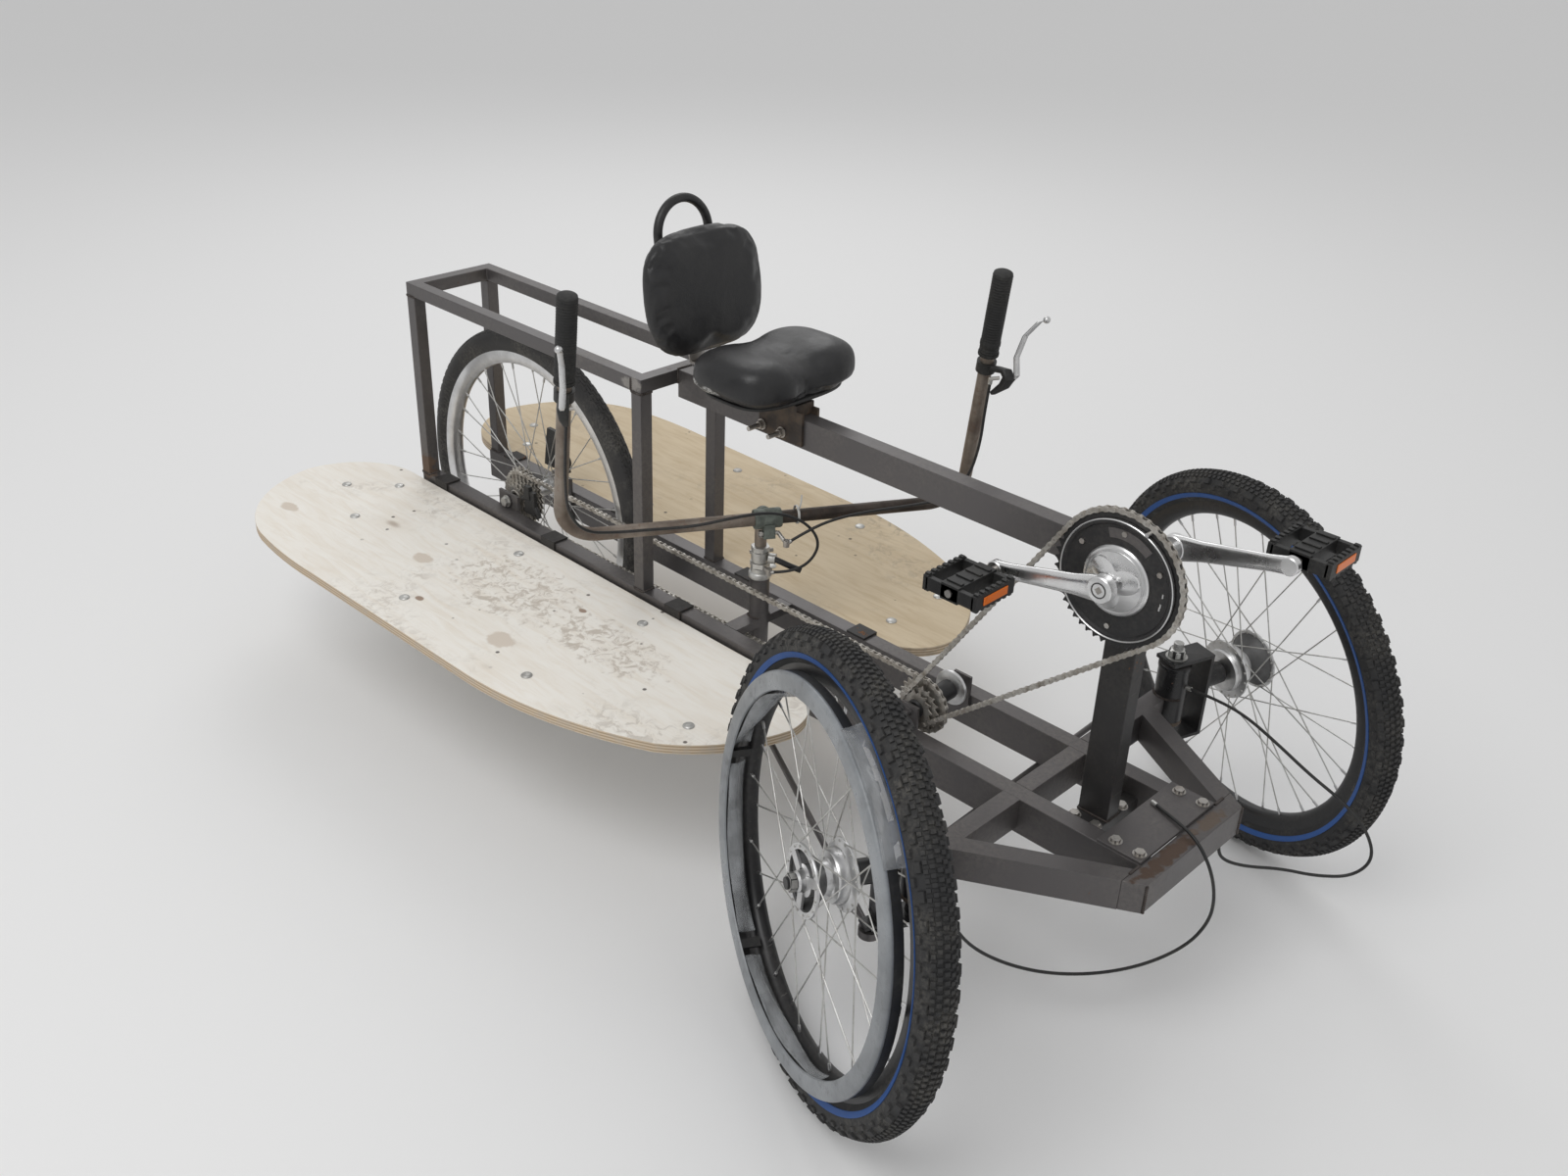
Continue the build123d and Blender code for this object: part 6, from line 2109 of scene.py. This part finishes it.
    def kingpin(self, side: Side) -> None:
        """Round a knuckle's edges and make its kingpin's nut, washer and thread, and its axle's cap.

        Args:
            side: the knuckle's side.
        """
        body = f"knuckle_{side.label}"
        self.soften(body, body, [self.palette.knuckle], 1)
        pin = Spindle.along(self.layout.at(0, side.value * self.kingpin_y, 382), UP)
        along = np.arange(14.3, 26.2, 0.45)
        thread = np.c_[8 + 0.22 * np.cos(along * 2 * np.pi / 1.8), along]
        thread = np.concatenate([[(0.1, 14.3)], thread, [(6.6, 26.5), (0.1, 26.5)]])
        skin = Skin(f"kingpin_{side.label}").rods(pin.origin, pin.origin + MM * 1.6 * UP, 17.5, 30)
        skin.turned(pin, self.kingpin_nut, 6).turned(pin, thread, 28)
        skin.turned(self.layout.front_wheel(side), self.axle_cap, 6)
        skin.build(body, [self.palette.zinc], smooth=40)

    def rear_axle(self) -> None:
        """Make the rear axle's nuts and washers outside the dropouts."""
        skin = Skin("rear_axle_nuts")
        for side in Side:
            start, middle, end = (self.layout.at(-1260, side.value * y, 328) for y in (71.2, 72.8, 80.2))
            skin.rods(start, middle, 12, 24).rods(middle, end, 9.5, 6)
        skin.build("frame", [self.palette.zinc], smooth=40)

    def changer(self) -> None:
        """Make the worn gear changer's black body by the cassette and its cage on the far side."""
        at, level = self.layout.at, np.eye(3)
        skin = Skin("rear_changer")
        skin.blocks((34, 9, 30), level, at(-1196, -60, 338), 0.82, 18)
        skin.blocks((20, 12, 14), level, at(-1204, -60, 362), 0.7, 12)
        tail = [(-1222, -60, 345), (-1196, -60, 352), (-1178, -60, 330), (-1172, -60, 318)]
        skin.bar(self.layout.path(tail), 12, 5, 12, 5)
        skin.blocks((70, 12, 46), level, at(-1258, 54, 396), 0.7, 34)
        for x, z, radius in ((-1284, 412, 17), (-1240, 380, 14)):
            skin.turned(Spindle.along(at(x, 61, z), LEFT), ((3, -1), (radius, -1), (radius, 3), (3, 3)), 22)
        skin.bar(self.layout.path([(-1262, 60, 386), (-1260, 61, 345)]), 0, 4.2, 12, 6)
        skin.build("frame", [self.palette.plastic], smooth=35)


# Seat


def power(value: np.ndarray, exponent: float) -> np.ndarray:
    """A power that keeps the sign."""
    return np.sign(value) * np.abs(value) ** exponent


@dataclass(frozen=True)
class PadShape:
    """A pad's closed form in its own frame: half sizes, how square it is and how deep it swells.

    A point at angle u round the outline and angle v from the base (-90) to the crown (90)
    is (a |cos u|^p r, b |sin u|^p r, h(v)), where r = |cos v|^q and h = height |sin v|^s.
    """

    half_length: float
    half_width: float
    below: float
    above: float
    square: float
    edge: float
    crown: float

    def points(self) -> np.ndarray:
        """The form on a grid, array (3, rows, columns)."""
        u = np.linspace(0, 2 * np.pi, 121)[None, :-1]
        v = np.radians(np.linspace(-89.5, 89.5, 61))[:, None]
        spread = power(np.cos(v), self.edge)
        height = np.where(v < 0, self.below, self.above) * power(np.sin(v), self.crown)
        x = self.half_length * power(np.cos(u), self.square) * spread
        y = self.half_width * power(np.sin(u), self.square) * spread
        return np.stack([x, y, np.broadcast_to(height, x.shape)])


class Pad:
    """A padded piece: its grid is remeshed, swollen as cloth, seamed and softened."""

    voxel = 0.005
    frames = 20
    pressure = 4.0

    def __init__(self, name: str, grid: np.ndarray, finish: bpy.types.Material) -> None:
        """Make the piece.

        Args:
            name: its name.
            grid: a closed form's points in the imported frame, array (rows, columns, 3).
            finish: its material.
        """
        self.piece = Skin(name).grid(grid).build("frame", [finish], smooth=180)
        remesh = self.piece.modifiers.new("remesh", "REMESH")
        remesh.mode = "VOXEL"
        remesh.voxel_size = self.voxel
        mesh = bpy.data.meshes.new_from_object(self.evaluated())
        self.piece.modifiers.clear()
        self.piece.data = mesh
        mesh.materials.clear()
        mesh.materials.append(finish)
        mesh.polygons.foreach_set("use_smooth", np.ones(len(mesh.polygons), bool))

    def evaluated(self) -> bpy.types.Object:
        """The piece as its modifiers leave it."""
        return self.piece.evaluated_get(bpy.context.evaluated_depsgraph_get())

    @staticmethod
    def coordinates(mesh: bpy.types.Mesh) -> np.ndarray:
        """A mesh's vertices, array (n, 3)."""
        out = np.empty(len(mesh.vertices) * 3, np.float32)
        mesh.vertices.foreach_get("co", out)
        return out.reshape(-1, 3)

    def places(self) -> np.ndarray:
        """Where the piece's vertices are."""
        return self.coordinates(self.piece.data)

    def move(self, places: np.ndarray) -> None:
        """Put the piece's vertices at these places."""
        self.piece.data.vertices.foreach_set("co", places.astype(np.float32).ravel())
        self.piece.data.update()

    def swell(self, held: np.ndarray, cap: float) -> None:
        """Blow the cover up as cloth, no vertex moving further than the cap.

        Args:
            held: true where the cover is fixed to its base.
            cap: the longest way a vertex may go.
        """
        start = self.places()
        group = self.piece.vertex_groups.new(name="held")
        group.add(np.flatnonzero(held).tolist(), 1.0, "REPLACE")
        cloth = self.piece.modifiers.new("cloth", "CLOTH")
        cloth.settings.quality = 4
        cloth.settings.vertex_group_mass = group.name
        cloth.settings.use_pressure = True
        cloth.settings.uniform_pressure_force = self.pressure
        cloth.settings.effector_weights.gravity = 0.0
        cloth.point_cache.frame_start, cloth.point_cache.frame_end = 1, self.frames
        for frame in range(1, self.frames + 1):
            bpy.context.scene.frame_set(frame)
        step = self.coordinates(self.evaluated().to_mesh()) - start
        far = np.linalg.norm(step, axis=1)[:, None]
        step *= np.minimum(1.0, MM * cap / np.maximum(far, 1e-9))
        self.piece.modifiers.clear()
        self.piece.vertex_groups.clear()
        bpy.context.scene.frame_set(1)
        self.move(start + step)

    def done(self, node: str) -> None:
        """Args:
            node: the CAD node that it stands for.
        """
        soft = self.piece.modifiers.new("soft", "SUBSURF")
        soft.levels = soft.render_levels = 1
        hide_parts(node)


def bell(value: np.ndarray, centre: float, width: float) -> np.ndarray:
    """A bell curve: one at the centre, exp(-1) a width away."""
    return np.exp(-(((value - centre) / width) ** 2))


@dataclass
class Seat(SubAssembly):
    """Saddle, backrest, clamp bolts and the plate under the saddle."""

    saddle_x: float = -610
    saddle_low: float = 738
    back_x: float = -780
    back_z: float = 858
    lean: float = math.radians(8)
    saddle_shape: PadShape = PadShape(90.5, 128, 21, 46, 0.50, 0.30, 0.62)
    plate_shape: PadShape = PadShape(78, 112, 3, 4, 0.62, 0.1, 0.4)
    back_shape: PadShape = PadShape(101.5, 123.5, 18, 19, 0.56, 0.2, 0.66)

    def build(self) -> None:
        """Make the saddle, its plate, the backrest and the bolts."""
        self.saddle()
        plate = MM * np.moveaxis(self.plate_shape.points(), 0, -1)[::3, ::2]
        plate = plate + self.layout.at(self.saddle_x, 0, self.saddle_low + 4.6)
        Skin("saddle_plate").grid(plate).build("frame", [self.palette.plastic], smooth=40)
        self.backrest()
        self.bolts()

    def saddle(self) -> None:
        """Make the noseless saddle: two lobes with a valley between, on a flat base.

        The valley is a bell curve across y, deeper ahead; the rear slopes down and its
        corners draw out. The cover is drawn in under its lower edge, and creased in
        front between the lobes.
        """
        x, y, z = self.saddle_shape.points()
        raised = np.maximum(z, 0)
        ahead, behind = np.clip(x / 90, 0, 1), np.clip(-x / 90, 0, 1)
        valley = (0.16 + 0.30 / (1 + np.exp(-(x - 10) / 30))) * bell(y, 0, 50)
        z = z - raised * valley - raised * 0.22 * behind**2
        x = x - 11 * bell(y, 0, 30) * ahead
        x = x + 6 * (np.abs(y) / 127) ** 3 * np.clip(-x / 90, 0, 1)
        centre = self.layout.at(self.saddle_x, 0, self.saddle_low + 26)
        pad = Pad("saddle_pad", MM * np.stack([x, y, z], -1) + centre, self.palette.vinyl)
        pad.swell(pad.places()[:, 2] < centre[2] - 0.019, 5.5)
        places = pad.places()
        own = (places - centre) / MM
        out = own * (1, 1, 0)
        out /= np.maximum(np.linalg.norm(out, axis=1)[:, None], 1e-3)
        tuck = bell(own[:, 1], 0, 6) * (own[:, 0] > 50) * (own[:, 2] < 12)
        pad.move(places - MM * out * (2.2 * bell(own[:, 2], -10.5, 2.8) + 3 * tuck)[:, None])
        pad.done("saddle")

    def backrest(self) -> None:
        """Make the backrest: a rounded shield, a little narrower at its foot, with a seam round its face."""
        up, across, out = self.back_shape.points()
        across = across * (1 - 0.10 * np.clip(-up / 100, 0, 1) ** 1.5 - 0.03 * np.clip(up / 100, 0, 1))
        out = out + 4 * (across / 120) ** 2
        ahead = np.array((math.cos(self.lean), 0, math.sin(self.lean)))
        rise = np.array((-math.sin(self.lean), 0, math.cos(self.lean)))
        centre = self.layout.at(self.back_x, 0, self.back_z)
        grid = centre + MM * (up[..., None] * rise + across[..., None] * LEFT + out[..., None] * ahead)
        pad = Pad("backrest_pad", grid, self.palette.vinyl)
        pad.swell((pad.places() - centre) @ ahead < -0.012, 4.5)
        places = pad.places()
        own = (places - centre) / MM
        depth = own @ ahead
        flat = own - depth[:, None] * ahead
        radial = flat / np.maximum(np.linalg.norm(flat, axis=1)[:, None], 1e-3)
        seam = bell(depth, 8.5, 1.8) + 0.8 * bell(depth, -13, 2.2)
        rim = np.linalg.norm(flat / (100, 120, 100), axis=1) > 0.8
        pad.move(places - MM * radial * (1.7 * seam * rim)[:, None])
        pad.done("backrest")

    def bolts(self) -> None:
        """Make the clamp's two bolts with washers, nuts and heads."""
        skin = Skin("seat_bolts")
        for start, end, radius, sides in (
            (-20, -52, 4, 14), (-20.2, -22.2, 9.2, 24), (-22.2, -29, 6.8, 6), (20, 25.5, 7.5, 6),
        ):
            near, far = (self.layout.path([(-614, y, 681), (-570, y, 681)]) for y in (start, end))
            skin.rods(near, far, radius, sides)
        skin.build("frame", [self.palette.bolt], smooth=40)


# The whole


NODE_FINISHES = {
    "frame": ("rails", "cross_tubes", "front_arms", "front_plate", "front_post", "crank_axle_shell", "boom",
              "rear_cage", "head_tube", "rear_axle_plates", "jackshaft_axle", "tie_rod", "drag_link"),
    "knuckle": ("knuckle_right", "knuckle_left"),
    "strap": ("board_straps",),
    "plywood": ("boards",),
    "chain": ("front_chain", "rear_chain", "cassette", "jackshaft"),
    "plastic": ("pedal_right", "pedal_left", "cable_right", "cable_left", "brake_line_right",
                "brake_line_left"),
    "rusty": ("seat_clamp",),
    "bolt": ("seat_strip",),
    "vinyl": ("saddle", "backrest"),
    "raw": ("handlebar", "stem"),
    "grip": ("grips",),
    "alloy": ("brake_levers", "rim_rear", "hub_right", "hub_left", "hub_rear"),
    "rubber": ("tyre_right", "tyre_left", "tyre_rear"),
    "black_metal": ("rim_right", "rim_left", "chainring", "loop_handle"),
    "hoop": ("wheel_hoop",),
    "crank": ("cranks",),
}


def dress_nodes(layout: Layout, palette: Palette) -> None:
    """Give each CAD node its finish.

    Args:
        layout: where the nodes are.
        palette: the finishes.
    """
    for finish, names in NODE_FINISHES.items():
        for name in names:
            materials = layout.nodes[name].data.materials
            materials.clear()
            materials.append(getattr(palette, finish))


def main() -> None:
    """Load the frame, build every sub-assembly round it and set the stage."""
    logging.basicConfig(level=logging.INFO, format="%(message)s")
    layout = Layout(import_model())
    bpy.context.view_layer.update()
    palette = Palette(layout)
    dress_nodes(layout, palette)
    studio = Studio()
    studio.camera(layout)
    bars = Bars(layout, palette)
    lay_cables(layout, palette, bars)
    studio.floor()
    studio.light()
    for side in Side:
        FrontWheel(layout, palette, side).build()
    WheelHoop(layout, palette).build()
    RearWheel(layout, palette).build()
    Chain(layout, palette, "chain_front", "front_chain", Loop((78, 688, 48), (-232, 335, 14), -50)).build()
    Chain(layout, palette, "chain_rear", "rear_chain", Loop((-232, 335, 22), (-1260, 328, 24), -34)).build()
    Crankset(layout, palette).build()
    Jackshaft(layout, palette).build()
    bars.build()
    Seat(layout, palette).build()
    FrameDetails(layout, palette).build()


if __name__ == "__main__":
    main()
